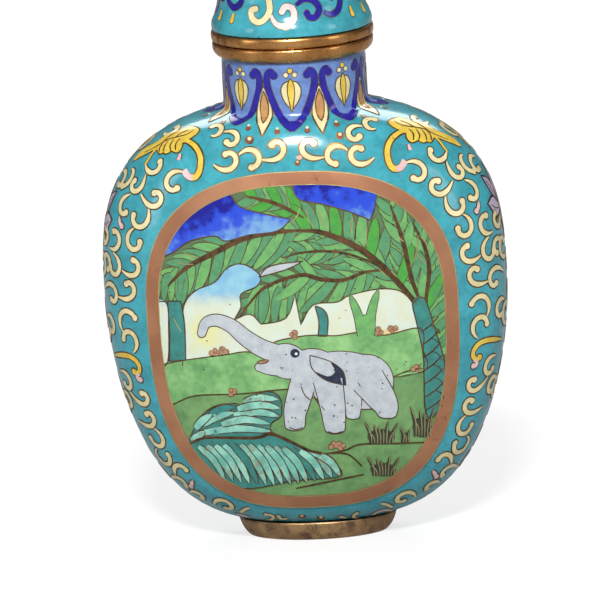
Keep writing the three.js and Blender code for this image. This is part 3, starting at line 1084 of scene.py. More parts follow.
for points in short_scrolls:
    scroll(small_wires, small_cream, lay_line(seen_at, points), 0.2, 0.26, 0.12)
for points in pink_scrolls:
    scroll(small_wires, small_pink, lay_line(seen_at, points), 0.22, 0.28, 0.12)
for across, down, radius in rust_beads:
    bead(small_wires, small_rust, seen_at(across, down), radius, 0.14)
    disc(small_cream, seen_at(across, down - 1.2), radius * 0.6, cell_lift + 0.012)
for layer in (small_wires, small_cream, small_pink, small_rust):
    on_both_sides(layer)
finish_piece("small_wires", small_wires, [wire_bronze])
finish_cells(
    ("small_cream_cells", small_cream, cream), ("small_pink_cells", small_pink, pink),
    ("small_rust_beads", small_rust, rust),
)

# Flank flowers. The narrow sides carry a lotus each, lavender and pale with an olive calyx and
# a yellow heart, on a chain of scrolls that runs from the neck to the foot. The photograph shows
# only its edge, so the rest of the flower is in keeping.


def on_flank(ahead, height):
    """The right flank's point and facing; ahead is measured from its middle to the back"""
    width, depth, squareness = body_level(height)
    share = max(1 - (abs(ahead) / depth) ** squareness, 0.001)
    point = Vector((width * share ** (1 / squareness), ahead, height))
    return point, skin_normal(point)


def both_ways(outline):
    return [outline, mirrored_points(outline)]


lotus_wires, lotus_petals, lotus_leaves, lotus_yellow, flank_cream = [new_layer() for _ in range(5)]
inner_petals = [
    even([(0, 38.9), (-1.0, 40.2), (-1.15, 41.8), (0, 44.0), (0, 44.0)]),
    *both_ways(
        [(-0.5, 39.3), (-1.5, 39.6), (-2.9, 41.0), (-3.5, 43.0), (-3.5, 43.0), (-1.9, 42.4), (-1.1, 41.0)],
    ),
]
outer_petals = both_ways(
    [(-0.5, 38.9), (-1.8, 37.9), (-3.4, 38.2), (-4.5, 39.8), (-4.5, 39.8), (-3.0, 40.4), (-1.5, 39.8)],
)
calyx = both_ways(
    [(-0.2, 38.4), (-1.2, 37.3), (-2.9, 36.6), (-4.2, 37.2), (-4.2, 37.2), (-3.1, 37.8), (-1.5, 38.2)],
)
calyx.append(even([(0, 38.6), (-0.9, 37.4), (0, 34.9), (0, 34.9)]))
for outlines, layer in [(inner_petals, lotus_petals), (outer_petals, lotus_petals), (calyx, lotus_leaves)]:
    for outline in outlines:
        walled(layer, lotus_wires, on_flank, outline, 0.045, 0.9, 0.12, 0.01)
petal_veins = [
    [(0, 39.4), (0, 42.6)], *both_ways([(-1.1, 39.9), (-2.1, 41.0), (-2.9, 42.3)]),
    *both_ways([(-1.3, 38.7), (-2.7, 38.9), (-3.8, 39.5)]),
]
for vein in petal_veins:
    line(lotus_wires, on_flank, vein, 0.07, 0.06, 0.5)
bead(lotus_wires, lotus_yellow, on_flank(0, 38.9), 0.82, 0.13, 0.06, 0.075)
for height, size in [(31.2, 0.36), (22.4, 0.34), (13.6, 0.32), (46.2, 0.32)]:
    drop = lay_line(on_flank, [(0, height + 2.2), (0, height + 1), (0, height)])
    strip(lotus_wires, drop, lambda share: size * (0.5 + 0.5 * share) + 0.1, wire_lift)
    strip(lotus_yellow, drop, lambda share: size * (0.5 + 0.5 * share), cell_lift)
    bead(lotus_wires, lotus_yellow, drop[-1], size, 0.1)
flank_scrolls = [
    ((89, 33.4), -118, 6.6, 270, 1.7), ((88.6, 29.6), -140, 6.8, -270, 1.5),
    ((89, 24.8), -100, 6.6, 270, 1.7), ((88.6, 20.8), -140, 6.4, -270, 1.5),
    ((89, 16.0), -100, 6.0, 260, 1.7), ((88.6, 12.2), -140, 5.4, -260, 1.5),
    ((88.8, 7.6), -100, 4.4, 250, 1.5), ((84, 45.0), -62, 4.6, -240, 1.6), ((88.4, 47.4), -70, 4.6, 250, 1.5),
    ((78, 49.6), -110, 3.8, 230, 1.4), ((84, 38.0), -160, 4.4, 240, 1.5), ((80, 34.6), -30, 4.2, -230, 1.4),
    ((80, 27.8), -60, 4.6, -235, 1.4), ((81, 18.2), -50, 4.4, -235, 1.4),
]
for start, heading, length, turn, growth in flank_scrolls:
    curl(lotus_wires, flank_cream, start, heading, length, turn, growth, 0.3, 0.38)
all_round(lotus_wires, flank_cream)
for layer in (lotus_petals, lotus_leaves, lotus_yellow):
    on_both_flanks(layer)
lavender_glass = enamel("lavender enamel", (206, 190, 214), (184, 164, 196), 1.5, 0.8, 0.14, 71.0)
olive = enamel("olive enamel", (116, 130, 66), (90, 106, 52), 1.2, 0.8, 0.15, 72.0)
finish_piece("flank_wires", lotus_wires, [wire_bronze])
finish_cells(
    ("flank_cream_cells", flank_cream, cream), ("flank_lotus_petals", lotus_petals, lavender_glass),
    ("flank_lotus_calyx", lotus_leaves, olive), ("flank_yellow_cells", lotus_yellow, yellow),
)

# Front picture. A landscape in coloured glass fills the frame: palms and a cobalt sky over pale
# clouds, a grey calf with its trunk raised, green hills, a fern and grass. Every shape is a cell
# in copper wires, laid where the front view has its broad areas and ground flush.
picture_field = 8
copper_line = 0.075
swell_steps = 40
calf_lift = 0.122
green_cells = ("palm_green", "leaf_green", "fresh_green")


def frond(picture, rib, blades, length, spread, width, level, sides=(-1, 1), shades=2, curve=0.25):
    """Blades along a rib, each a cell in its own wire, leaning forwards and shorter at its end"""
    curve_points = smooth_line(rib, False, 12)
    for number in range(blades):
        place = 0.04 + 0.96 * number / blades
        index = min(int(place * (len(curve_points) - 2)), len(curve_points) - 2)
        base = curve_points[index]
        forward = (curve_points[index + 1] - base).normalized()
        for side in sides:
            across = Vector((-forward.y, forward.x)) * side
            way = forward * math.cos(math.radians(spread)) + across * math.sin(math.radians(spread))
            reach = length * (1 - 0.4 * place)
            bends = [way * share + forward * curve * share**2 for share in (0, 0.35, 0.7, 1)]
            points = [base + bend * reach for bend in bends]
            turn = number + (side > 0)
            pointed(picture, points, width, level + 0.01 * (turn % 3), green_cells[turn % shades])


def pointed(picture, points, width, lift, name, wire=0.1):
    """A leaf blade along a line, in a wire of its own, rounded at its foot and pointed"""
    spots = lay_line(seen_at, [tuple(point) for point in points], 3)

    def swell(share):
        place = 0.16 + 0.83 * round(share * swell_steps) / swell_steps
        return math.sin(math.pi * min(place, 1)) ** 0.6 * width

    strip(picture["wires"], spots, lambda share: swell(share) + wire, lift)
    strip(picture[name], spots, swell, lift + 0.005)


def cell(picture, name, outline, lift, wire=copper_line):
    """A cell of the picture with a wire bent round it"""
    walled(picture[name], picture["wires"], seen_at, outline, lift, picture_field, wire, 0.01)


def draw(picture, points, lift, thickness=copper_line, taper=0.4, name="wires"):
    line(picture[name], seen_at, points, thickness, lift, taper)


def whole_field(lower, upper):
    """The field inside the frame, between two heights"""
    points = [frame_edge(2 * math.pi * index / 72, frame_band - 0.35) for index in range(72)]
    return [(x, min(max(z, lower), upper)) for x, z in points]


front = collections.defaultdict(new_layer)
patch(front["low_meadow"], front_spot, whole_field(0, 27), 0.03, 1.1, steps=1)
patch(front["canopy"], front_spot, whole_field(21, 60), 0.036, 1.1, steps=1)
left_sky = [
    (160, 258), (160, 258), (174, 230), (198, 205), (229, 189), (229, 189), (239, 206), (266, 214),
    (291, 219), (291, 219), (277, 231), (249, 235), (226, 241), (215, 236), (190, 241), (174, 252),
]
top_sky = [
    (292, 178), (292, 178), (335, 176), (377, 184), (377, 184), (375, 206), (370, 220), (370, 220),
    (350, 212), (322, 204), (297, 198),
]
cell(front, "sky", left_sky, 0.092)
cell(front, "sky", top_sky, 0.092)
cloud_outline = [
    (183, 366), (184, 330), (184, 306), (195, 291), (215, 282), (227, 268), (243, 264), (260, 275),
    (257, 286), (241, 294), (241, 307), (234, 320), (234, 320), (250, 314), (261, 324), (261, 324),
    (286, 318), (295, 294), (295, 294), (301, 325), (301, 325), (313, 305), (337, 302), (350, 295),
    (378, 289), (400, 291), (414, 306), (418, 330), (418, 366), (300, 368),
]
cell(front, "clouds", cloud_outline, 0.095)
cell(front, "clouds", [(154, 303), (167, 303), (169, 330), (168, 362), (158, 364), (154, 330)], 0.1)

main_rib = [(427, 322), (412, 299), (384, 268), (355, 246), (320, 232), (300, 231)]
left_rib = [(304, 230), (279, 232), (244, 238.5), (210, 255), (186, 268), (168, 286)]
upper_rib = [(304, 218), (277, 204), (246, 196)]
middle_rib = [(386, 270), (365, 272), (343, 280), (320, 279), (300, 275), (264, 288), (240, 316)]
inner_rib = [(392, 274), (366, 260), (338, 252), (305, 252), (282, 258)]
right_rib = [(427, 322), (426, 299), (429, 269), (424, 246), (412, 222)]
corner_rib = [(424, 310), (412, 280), (402, 238), (390, 205)]
frond(front, corner_rib, 12, 30, 34, 0.55, 0.045)
frond(front, right_rib, 11, 26, 36, 0.5, 0.045)
frond(front, main_rib, 14, 46, 66, 0.66, 0.05, sides=(1,), shades=3, curve=0.1)
frond(front, inner_rib, 13, 24, 44, 0.44, 0.045)
frond(front, main_rib, 16, 28, 36, 0.46, 0.052, sides=(-1,))
frond(front, left_rib, 13, 44, 56, 0.6, 0.05, sides=(-1,))
frond(front, left_rib, 13, 30, 44, 0.5, 0.05, sides=(1,))
frond(front, upper_rib, 8, 28, 46, 0.52, 0.045, shades=3)
frond(front, middle_rib, 13, 48, 58, 0.6, 0.056, sides=(-1,))
frond(front, middle_rib, 13, 28, 36, 0.46, 0.056, sides=(1,))
rib_widths = [
    (main_rib, 0.4), (left_rib, 0.34), (upper_rib, 0.24), (middle_rib, 0.26), (right_rib, 0.26),
    (corner_rib, 0.28), (inner_rib, 0.16),
]
for rib, width in rib_widths:
    draw(front, rib, 0.089, width, 0.7)
hanging_blades = [[(x + 7, 288 - 0.1 * (x - 262)), (x + 2, 303), (x, 326)] for x in range(250, 300, 8)]
hanging_blades += [[(186 - x, 262 + x), (180 - x, 280), (178 - x, 302)] for x in range(0, 25, 7)]
hanging_blades += [[(433, 296 + y), (442, 288 + y), (452, 276 + y)] for y in range(0, 70, 9)]
for number, points in enumerate(hanging_blades):
    pointed(front, points, 0.52, 0.066 + 0.005 * (number % 2), green_cells[number % 2])
pale_veins = [
    [(306, 209), (309, 220), (313, 226)], [(319, 209), (322, 221), (325, 228)],
    [(352, 217), (351.5, 226), (352, 236)], [(367, 227), (366, 238), (367, 246)],
    [(410, 267), (416, 253), (418, 235)], [(419, 235), (425, 242), (430, 251)],
    [(416, 253), (421, 259), (426, 264)], [(379, 269), (386, 276)], [(391, 271), (397, 277)],
    [(398, 237), (404, 242)], [(176, 262), (186, 264), (194, 264)], [(184, 252), (191, 256), (199, 257)],
    [(290, 224), (297, 216), (300, 208)],
]
for pale_vein in pale_veins:
    draw(front, pale_vein, 0.092, 0.07, 0.5, "gold_wires")

for inset in (0.07, frame_band - 0.07):
    edge = [front_spot(*frame_edge(2 * math.pi * index / 180, inset)) for index in range(181)]
    strip(front["gold_wires"], edge, lambda share: 0.045, 0.138)

far_hill = [
    (268, 356), (273, 343), (290, 338), (312, 335), (336, 335.5), (361, 332), (385, 335), (420, 328),
    (423, 350), (421, 372), (340, 380), (300, 376),
]
near_hill = [
    (156, 366), (185, 360), (223, 355), (254, 352.4), (290, 372), (330, 380), (330, 392), (288, 389),
    (240, 393.6), (195, 395.4), (170, 404), (158, 390),
]
cell(front, "hills", far_hill, 0.106)
cell(front, "hills", near_hill, 0.106)
ridges = [
    [(392, 377), (407, 371), (423, 368)], [(322, 454), (345, 450), (361, 444), (400, 443), (426, 442)],
    [(330, 453), (348, 454), (362, 466)], [(296, 488), (330, 481), (364, 474)],
]
for ridge in ridges:
    draw(front, ridge, 0.117, 0.09)
stone_heaps = [
    (214, 352), (224, 351), (232, 392), (379, 331), (393, 329), (294, 335), (415, 368), (333, 445),
    (341, 445),
]
for across, down in stone_heaps:
    for number in range(3):
        angle = 2.4 * number + across
        spot = seen_at(across + 2.6 * math.cos(angle), down + 2.2 * math.sin(angle))
        radius = 0.36 - 0.06 * number
        disc(front["wires"], spot, radius + 0.06, 0.112 + 0.006 * number, 9)
        disc(front["stones"], spot, radius, 0.115 + 0.006 * number, 9)

left_trunk = [
    (168, 301), (168, 301), (181, 301), (181, 301), (185, 325), (186, 360), (186, 360), (170, 361),
    (170, 361), (170, 330),
]
small_trunk = [(315, 306), (323, 309), (328, 318), (327, 336), (327, 336), (318, 336), (318, 336), (319, 322)]
right_trunk = [
    (412, 304), (424, 298), (435, 330), (444, 362), (443, 398), (431, 418), (425, 408), (424, 380),
    (423, 355), (418, 330),
]
for trunk in (left_trunk, small_trunk, right_trunk):
    cell(front, "teal_cells", trunk, 0.111)
sapling = [
    [(361, 336), (359, 318), (350, 295)], [(371, 336), (371, 314), (378, 290)],
    [(366, 336), (366, 326), (365, 314)],
]
for blade_line in sapling:
    pointed(front, blade_line, 0.52, 0.111, "palm_green")
for step in range(7):
    level = 330 + 13 * step
    draw(
        front, [(421 + 0.7 * step, level + 2), (430 + step, level - 5), (438 + 1.2 * step, level - 14)],
        0.123, 0.1,
    )
    draw(
        front, [(430 + step, level - 5), (436 + step, level - 2), (440 + 0.8 * step, level + 4)], 0.123, 0.06,
    )
draw(front, [(174, 318), (178, 326), (182, 332)], 0.123, 0.07, name="gold_wires")

fern_ground = [
    (190, 438), (203, 414), (222, 404), (240, 405.5), (262, 392), (279, 396), (281.5, 415), (271.5, 423),
    (274, 434), (306, 449), (322, 454), (342, 475), (295, 480), (250, 488), (217, 481), (193, 450),
]
cell(front, "teal_cells", fern_ground, 0.111)
fern_blades = [
    [(244, 402), (260, 397.5), (278, 399)], [(238, 408.5), (260, 404.5), (280, 408)],
    [(234, 415), (257, 411.5), (279, 416)], [(222, 424), (245, 419), (270, 423.5)],
    [(200, 433), (236, 428), (272, 431)], [(196, 428), (203, 420), (212, 414)],
    [(209, 416), (221, 409), (239, 405)], [(192, 440), (198, 436), (205, 431)],
    [(204, 424), (216, 417), (234, 412)],
]
for step in range(15):
    share = step / 14
    root = (199 + 118 * share, 446 - 5 * math.sin(math.pi * share) + 8 * share)
    tip = (225 + 115 * share, 479 + 7 * math.sin(math.pi * share) - 4 * share)
    fern_blades.append([root, ((root[0] + tip[0]) / 2 + 2, (root[1] + tip[1]) / 2 - 3), tip])
for number, blade_line in enumerate(fern_blades):
    pointed(
        front, blade_line, 0.44, 0.116 + 0.008 * (number % 2),
        "teal_cells" if number % 7 == 6 else "mint_cells", 0.13,
    )
fern_rib = [(190, 444), (205, 437.5), (255, 437.5), (273, 434), (306, 449), (322, 454)]
draw(front, fern_rib, 0.135, 0.2, 0.5)


def oval(across, down, wide, high, tilt=0.0, corners=14):
    east, north = math.cos(math.radians(tilt)), math.sin(math.radians(tilt))
    points = []
    for index in range(corners):
        out = wide * math.cos(2 * math.pi * index / corners)
        up = high * math.sin(2 * math.pi * index / corners)
        points.append((across + out * east - up * north, down + out * north + up * east))
    return points


def limb(points, first, last, lift, flat):
    """A limb of the calf, its glass over a wire that shows round it; flat is for a foot"""
    spots = lay_line(seen_at, points, 5)
    for name, more, level in [("wires", calf_wire, lift - 0.008), ("calf", 0, lift)]:
        strip(front[name], spots, lambda share: first + (last - first) * share + more, level)
        end = oval(*points[-1], (last + more) / dot_size, (last * flat + more) / dot_size)
        patch(front[name], seen_at, end, level + 0.001, picture_field)


# The calf is put together from ovals and limbs; their wires show only round the whole figure
calf_wire = 0.12
calf_ovals = [(344, 378, 46, 26.5, 4), (366, 381.5, 27, 27, 0), (314, 370, 27, 21, 8), (287, 361, 20, 17, 14)]
grown = calf_wire / dot_size
for number, (across, down, wide, high, tilt) in enumerate(calf_ovals):
    lift = calf_lift + 0.002 * number
    patch(
        front["wires"], seen_at, oval(across, down, wide + grown, high + grown, tilt), lift - 0.008,
        picture_field,
    )
    patch(front["calf"], seen_at, oval(across, down, wide, high, tilt), lift, picture_field)
calf_limbs = [
    (
        [(284, 356), (262, 348), (245, 337), (232, 326), (217, 320), (206, 323), (202, 333)], 1.15, 0.46,
        0.0035, 1.0,
    ),
    ([(288, 368), (270, 368.5), (259, 367)], 1.0, 0.42, 0.0015, 1.0),
    ([(304, 380), (297, 404), (295, 414), (295, 426)], 1.5, 1.12, 0.0025, 0.4),
    ([(328, 380), (333, 408), (335, 429)], 1.7, 1.14, 0.0045, 0.4),
    ([(352, 386), (353, 404), (353, 416)], 1.2, 0.72, -0.0015, 0.4),
    ([(368, 380), (380, 396), (386, 406), (387, 414)], 2.0, 1.08, 0.0055, 0.4),
]
for points, first, last, above, flat in calf_limbs:
    limb(points, first, last, calf_lift + above, flat)
cell(front, "stones", oval(263, 361.5, 6, 1.7, -12), calf_lift + 0.012, 0.05)
skin_folds = [
    [(301, 386), (305, 395), (311, 400)], [(313, 392), (317, 401), (325, 410)],
    [(344, 398), (345, 407), (345, 416)], [(358, 382), (363, 392), (368, 404)],
    [(289, 427), (296, 429), (303, 427)], [(328, 431), (335, 433), (342, 431)],
]
for fold in skin_folds:
    draw(front, fold, calf_lift + 0.018, 0.07, 0.3)
ear = [(310, 355), (310, 355), (312, 368), (326, 380), (346, 385), (346, 385), (343, 371), (330, 361)]
ear_shade = [(314, 371), (326, 380), (346, 385), (346, 385), (343, 371), (331, 362), (335, 371), (328, 376)]
pale_leaf = [(259, 277), (270, 266), (303, 261), (303, 261), (286, 269.5)]
cell(front, "calf", pale_leaf, 0.095)
cell(front, "calf", ear, calf_lift + 0.02, 0.06)
patch(front["calf_shades"], seen_at, ear_shade, calf_lift + 0.024, picture_field)
disc(front["calf_shades"], seen_at(295, 353), 0.56, calf_lift + 0.016, 12)
disc(front["calf_eye"], seen_at(296.3, 353.5), 0.17, calf_lift + 0.022, 10)

grass_tufts = [(381, 443, 22, 8, 17), (383, 475, 19, 8, 16), (422, 436, 30, 6, 12), (405, 442, 15, 3, 5)]
for across, down, high, blades, reach in grass_tufts:
    shade = oval(across, down - 0.3 * high, reach * 0.8, high * 0.33)
    patch(front["grass"], seen_at, shade, 0.111, picture_field, steps=4)
    for number in range(blades):
        lean = 2 * number / (blades - 1) - 1
        foot = (across + lean * reach * 0.6, down)
        height = high * (0.75 + 0.25 * math.cos(3.7 * number))
        tip = (across + lean * reach, down - height)
        middle = ((foot[0] + tip[0]) / 2 - 2 * lean, (foot[1] + tip[1]) / 2)
        pointed(front, [foot, middle, tip], 0.2, 0.116 + 0.006 * (number % 2), "grass", 0.02)
        draw(
            front, [(foot[0] + 1, foot[1]), (middle[0] + 1, middle[1]), tip], 0.129, 0.055, 0.4, "gold_wires",
        )


def map_place(paint):
    """How far right and how high a point of the wide side is, in millimetres"""
    spot = {"Vector": paint.place()}
    return [paint.node("ShaderNodeSeparateXYZ", None, spot, axis) * 1000 for axis in (0, 2)]


def sky_colour(paint):
    """Cobalt, worked into royal and then light blue to the right, where the palms begin"""
    right, height = map_place(paint)
    fall = (right + 14).within(0, 11) * 1.3 + (38.8 - height) * 0.32 + paint.noise(
        1.1, 5, seed=41,
    ) * 2.8 - 0.85
    blue = fall.within(0.0, 0.6).blend(linear(20, 22, 140), linear(38, 74, 208))
    return fall.within(0.7, 1.9).blend(blue, linear(118, 168, 212))


def cloud_colour(paint):
    """Light blue above, through cream to a yellow stain near the ground on the left"""
    right, height = map_place(paint)
    white = paint.noise(1.7, 4, seed=42).within(0.4, 0.62).blend(linear(212, 224, 208), linear(214, 220, 194))
    blue = paint.noise(2.0, 3, seed=43).within(0.3, 0.7).blend(linear(122, 176, 214), linear(150, 204, 218))
    rise = (height + paint.noise(2.0, 4, seed=44) * 2.6).within(31.2, 33.6) * (1 - right.within(-1.5, 1))
    stain = (right + 11.6) ** 2 + (height - 26.9) ** 2 + paint.noise(1.6, 3, seed=48) * 9
    warm = (right - 10.4) ** 2 * 0.5 + (height - 25.4) ** 2 + paint.noise(1.2, 3, seed=49) * 4
    stained = (1 - stain.within(2, 12)).blend(rise.blend(white, blue), linear(224, 222, 146))
    warmed = (1 - warm.within(1.6, 4.5)).blend(stained, linear(228, 196, 104))
    speck = (1 - paint.cells(0.7, seed=9).within(0.1, 0.2)) * paint.noise(2.2, 2, seed=45).within(0.5, 0.58)
    return speck.blend(warmed, linear(96, 100, 88))


def fern_colour(paint):
    """Mint glass, with brown patina rubbed into it between the wires"""
    tone = paint.noise(1.8, 4, seed=60).within(0.35, 0.65).blend(linear(152, 214, 194), linear(106, 180, 164))
    patina = (paint.noise(1.3, 5, seed=64) * 0.6 + paint.noise(0.3, 3, seed=65) * 0.4).within(0.5, 0.6)
    return (patina * 0.55).blend(tone, linear(138, 128, 98))


def soft_shine(paint):
    return paint.noise(1.6, 3, seed=46) * 0.12 + 0.13


def ripple(paint):
    return paint.noise(2.4, 3, seed=47)


glass = {"Coat Weight": 0.4, "Coat Roughness": 0.06, "IOR": 1.52}
sky_glass = surface("sky enamel", sky_colour, soft_shine, glass, ripple, 0.12)
cloud_glass = surface("cloud enamel", cloud_colour, soft_shine, glass, ripple, 0.12)
mint_glass = surface("mint enamel", fern_colour, soft_shine, glass, ripple, 0.12)
palm_shadow = enamel("palm shadow enamel", (88, 124, 84), (92, 106, 76), 0.7, 1.2, 0.17, 50.0)
palm = enamel("palm green enamel", (118, 180, 104), (94, 154, 96), 1.2, 1.6, 0.14, 51.0)
shade_green = enamel("shade green enamel", (94, 158, 106), (78, 134, 98), 1.0, 1.2, 0.15, 52.0)
fresh = enamel("fresh green enamel", (80, 168, 62), (66, 146, 68), 1.0, 0.9, 0.14, 53.0)
meadow = enamel("meadow green enamel", (148, 200, 130), (98, 154, 94), 3.0, 1.7, 0.15, 54.0)
low_meadow = enamel("low meadow enamel", (122, 166, 104), (92, 134, 84), 2.6, 1.6, 0.15, 55.0)
grey_calf = enamel("grey calf enamel", (198, 204, 206), (172, 180, 190), 1.0, 2.6, 0.14, 56.0)
slate_glass = enamel("slate enamel", (50, 58, 84), (28, 32, 50), 0.8, 0.4, 0.16, 57.0)
stone_glass = enamel("stone enamel", (196, 152, 118), (138, 98, 70), 0.5, 1.4, 0.2, 58.0)
teal_glass = enamel("teal enamel", (62, 142, 134), (52, 116, 110), 1.2, 1.2, 0.15, 59.0)
grass_glass = enamel("grass enamel", (58, 70, 52), (34, 44, 40), 0.9, 0.4, 0.18, 61.0)
picture_copper = metal("picture wires", (138, 106, 76), (112, 88, 64), (70, 60, 46), 0.6, 0.38, 0.8, 62.0)
bright_wire = metal("pale gold wires", (236, 220, 160), (206, 188, 128), (120, 110, 72), 0.3, 0.3, 0.8, 66.0)
white_glass = enamel("white enamel", (244, 246, 240), (228, 232, 226), 0.8, 0.2, 0.13, 63.0)
picture_glasses = {
    "low_meadow": low_meadow, "canopy": palm_shadow, "palm_green": palm, "leaf_green": shade_green,
    "fresh_green": fresh, "sky": sky_glass, "clouds": cloud_glass, "hills": meadow, "calf": grey_calf,
    "calf_shades": slate_glass, "calf_eye": white_glass, "stones": stone_glass, "teal_cells": teal_glass,
    "mint_cells": mint_glass, "grass": grass_glass,
}
for name, glass in picture_glasses.items():
    finish_cells((f"picture_{name}", front[name], glass))
finish_piece("picture_wires", front["wires"], [picture_copper])
finish_piece("picture_gold_wires", front["gold_wires"], [bright_wire])

# Back picture. The photograph doesn't show it, so it is a plainer landscape of the same kind:
# sky, clouds and hills, two palms, a plant and stones, with the same glass and wires.
back = collections.defaultdict(new_layer)
patch(back["low_meadow"], front_spot, whole_field(0, 27), 0.03, 1.1, steps=1)
patch(back["sky"], front_spot, whole_field(21, 60), 0.036, 1.1, steps=1)
back_clouds = [
    (155, 366), (158, 300), (176, 286), (196, 284), (206, 268), (228, 258), (250, 262), (262, 276),
    (284, 272), (306, 280), (322, 268), (350, 262), (376, 272), (396, 288), (424, 286), (450, 296),
    (452, 330), (446, 366), (300, 370),
]
back_hills = [
    (154, 372), (170, 352), (196, 340), (226, 334), (258, 340), (288, 352), (330, 346), (372, 332),
    (410, 330), (448, 342), (452, 390), (420, 420), (300, 428), (180, 420), (156, 400),
]
back_meadow = [
    (158, 404), (186, 390), (224, 386), (262, 396), (300, 410), (346, 404), (388, 394), (448, 396),
    (440, 430), (400, 470), (300, 492), (200, 470), (168, 434),
]
left_stem = [
    (196, 420), (202, 380), (200, 340), (204, 300), (212, 262), (218, 262), (214, 300), (212, 340),
    (214, 380), (210, 420),
]
right_stem = [
    (398, 414), (404, 370), (400, 330), (396, 296), (388, 266), (395, 264), (404, 296), (410, 330),
    (414, 370), (412, 414),
]
cell(back, "clouds", back_clouds, 0.05)
cell(back, "hills", back_hills, 0.06)
cell(back, "palm_green", back_meadow, 0.066)
cell(back, "teal_cells", left_stem, 0.08)
cell(back, "teal_cells", right_stem, 0.08)
for stem_x, lean in [(196, 2), (398, 1)]:
    for step in range(9):
        level = 408 - 15 * step
        draw(
            back, [(stem_x + 3 + lean, level), (stem_x + 8, level - 4), (stem_x + 13, level - 1)], 0.095,
            0.07,
        )
palm_ribs = [
    [(214, 262), (236, 238), (268, 226), (300, 234), (322, 254)],
    [(214, 262), (206, 232), (184, 226), (172, 246)], [(214, 262), (224, 222), (250, 200), (282, 200)],
    [(214, 264), (240, 262), (262, 276), (272, 300)], [(214, 264), (192, 262), (176, 278), (170, 300)],
    [(391, 266), (368, 240), (340, 228), (316, 222)], [(391, 266), (404, 236), (428, 236), (440, 262)],
    [(391, 266), (384, 222), (356, 204), (330, 200)], [(391, 268), (366, 268), (350, 286), (346, 308)],
    [(391, 268), (414, 268), (432, 286), (440, 310)],
]
for rib in palm_ribs:
    frond(back, rib, 11, 20, 46, 0.45, 0.085, shades=3)
    draw(back, rib, 0.115, 0.22, 0.6)
plant_blades = [
    [(300, 452), (280, 430), (252, 424)], [(300, 452), (276, 442), (246, 442)],
    [(300, 454), (276, 456), (252, 462)], [(300, 456), (284, 468), (266, 480)],
    [(300, 452), (292, 428), (276, 412)], [(302, 452), (310, 428), (326, 412)],
    [(302, 452), (322, 432), (350, 426)], [(302, 453), (326, 444), (354, 444)],
    [(302, 455), (326, 460), (350, 466)], [(302, 457), (318, 470), (334, 482)],
    [(301, 452), (300, 430), (302, 408)],
]
for blade_line in plant_blades:
    pointed(back, blade_line, 0.55, 0.085, "mint_cells", 0.09)
    draw(back, blade_line, 0.1, 0.06)
rocks = [
    [(228, 398), (231, 389), (238, 387), (244, 392), (244, 399)],
    [(360, 400), (364, 391), (372, 389), (379, 395), (378, 401)],
    [(286, 352), (292, 344), (299, 343), (304, 351)],
]
for rock in rocks:
    cell(back, "stones", rock, 0.07, 0.07)
back_names = (
    "low_meadow", "leaf_green", "palm_green", "fresh_green", "sky", "clouds", "hills", "stones", "teal_cells",
    "mint_cells",
)
for name in back_names:
    finish_cells((f"back_{name}", to_back(back[name]), picture_glasses[name]))
finish_piece("back_wires", to_back(back["wires"]), [picture_copper])


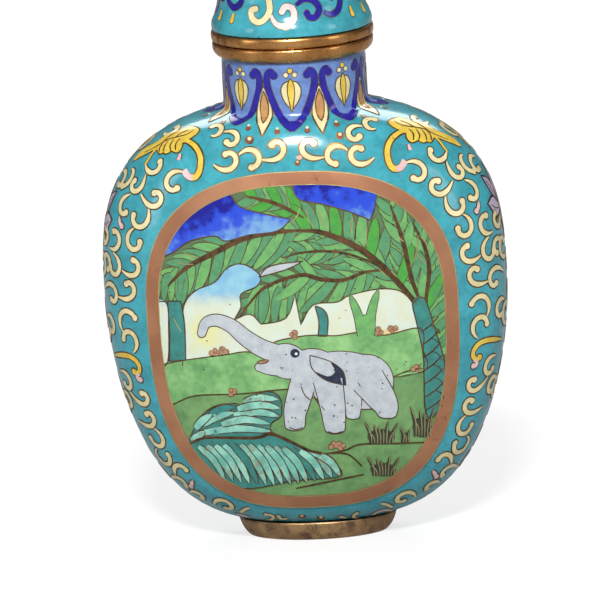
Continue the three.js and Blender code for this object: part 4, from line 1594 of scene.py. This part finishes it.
# Setting. A plain pale floor, soft studio light, and a long lens from a little above the front.
floor_mesh = bmesh.new()
bmesh.ops.create_grid(floor_mesh, x_segments=1, y_segments=1, size=3)
floor_data = bpy.data.meshes.new("floor")
floor_mesh.to_mesh(floor_data)
floor_mesh.free()
floor = bpy.data.objects.new("floor", floor_data)
pale_floor = surface(
    "pale floor",
    lambda paint: paint.noise(400).blend(linear(156, 156, 156), linear(152, 152, 152)),
    lambda paint: paint.noise(200) * 0.1 + 0.8,
    {"Specular IOR Level": 0.2, "Emission Strength": 1.0},
)
floor_data.materials.append(pale_floor)
shown = Paint(pale_floor.node_tree).node("ShaderNodeLightPath", output="Is Camera Ray") * 0.64 + 0.05
pale_floor.node_tree.links.new(
    shown.socket, pale_floor.node_tree.nodes["Principled BSDF"].inputs["Emission Color"],
)
bpy.context.scene.collection.objects.link(floor)
floor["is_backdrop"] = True

world = bpy.data.worlds.new("studio")
world.use_nodes = True
world.node_tree.nodes["Background"].inputs["Color"].default_value = (1, 1, 1, 1)
air = Paint(world.node_tree)
behind = air.node(
    "ShaderNodeSeparateXYZ", None, {"Vector": air.node("ShaderNodeTexCoord", output="Generated")}, 1,
)
glow = air.node("ShaderNodeLightPath", output="Is Camera Ray") * 0.8 + 0.3 - behind.within(-0.4, 0.5) * 0.2
world.node_tree.links.new(glow.socket, world.node_tree.nodes["Background"].inputs["Strength"])
bpy.context.scene.world = world
bpy.context.scene.view_settings.view_transform = "Standard"


def lamp(name, place, size, power):
    """A soft rectangular light that looks at the bottle's middle"""
    light = bpy.data.lights.new(name, "AREA")
    light.shape = "RECTANGLE"
    light.size, light.size_y = size
    light.energy = power
    lamp_object = bpy.data.objects.new(name, light)
    lamp_object.location = place
    lamp_object.rotation_euler = (Vector((0, 0, 0.035)) - Vector(place)).to_track_quat("-Z", "Y").to_euler()
    bpy.context.scene.collection.objects.link(lamp_object)


lamp("key", (0.0, -0.75, 0.62), (0.16, 0.14), 9.0)
lamp("left fill", (-0.9, -0.5, 0.3), (0.2, 0.5), 1.0)
lamp("right fill", (0.9, -0.45, 0.3), (0.2, 0.5), 1.0)
lamp("back rim", (0, 0.7, 0.6), (0.8, 0.4), 4.5)

film_width = 36
view_width = 71.52
camera_data = bpy.data.cameras.new("camera")
camera_data.lens = film_width * sight_length / view_width
camera_data.sensor_width = film_width
camera_data.clip_end = 20
camera = bpy.data.objects.new("camera", camera_data)
stand = Matrix((to_right, to_top, -to_front)).transposed().to_4x4()
camera.matrix_world = Matrix.Translation(sight * 0.001) @ stand @ Matrix.Rotation(-sight_roll, 4, "Z")
bpy.context.scene.collection.objects.link(camera)
bpy.context.scene.camera = camera

bpy.context.view_layer.update()
sizes = {"cad": cad_box, "visual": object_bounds()}


def as_list(value):
    return [list(entry) if hasattr(entry, "__len__") else entry for entry in value]


plain = json.loads(json.dumps(sizes, default=as_list))
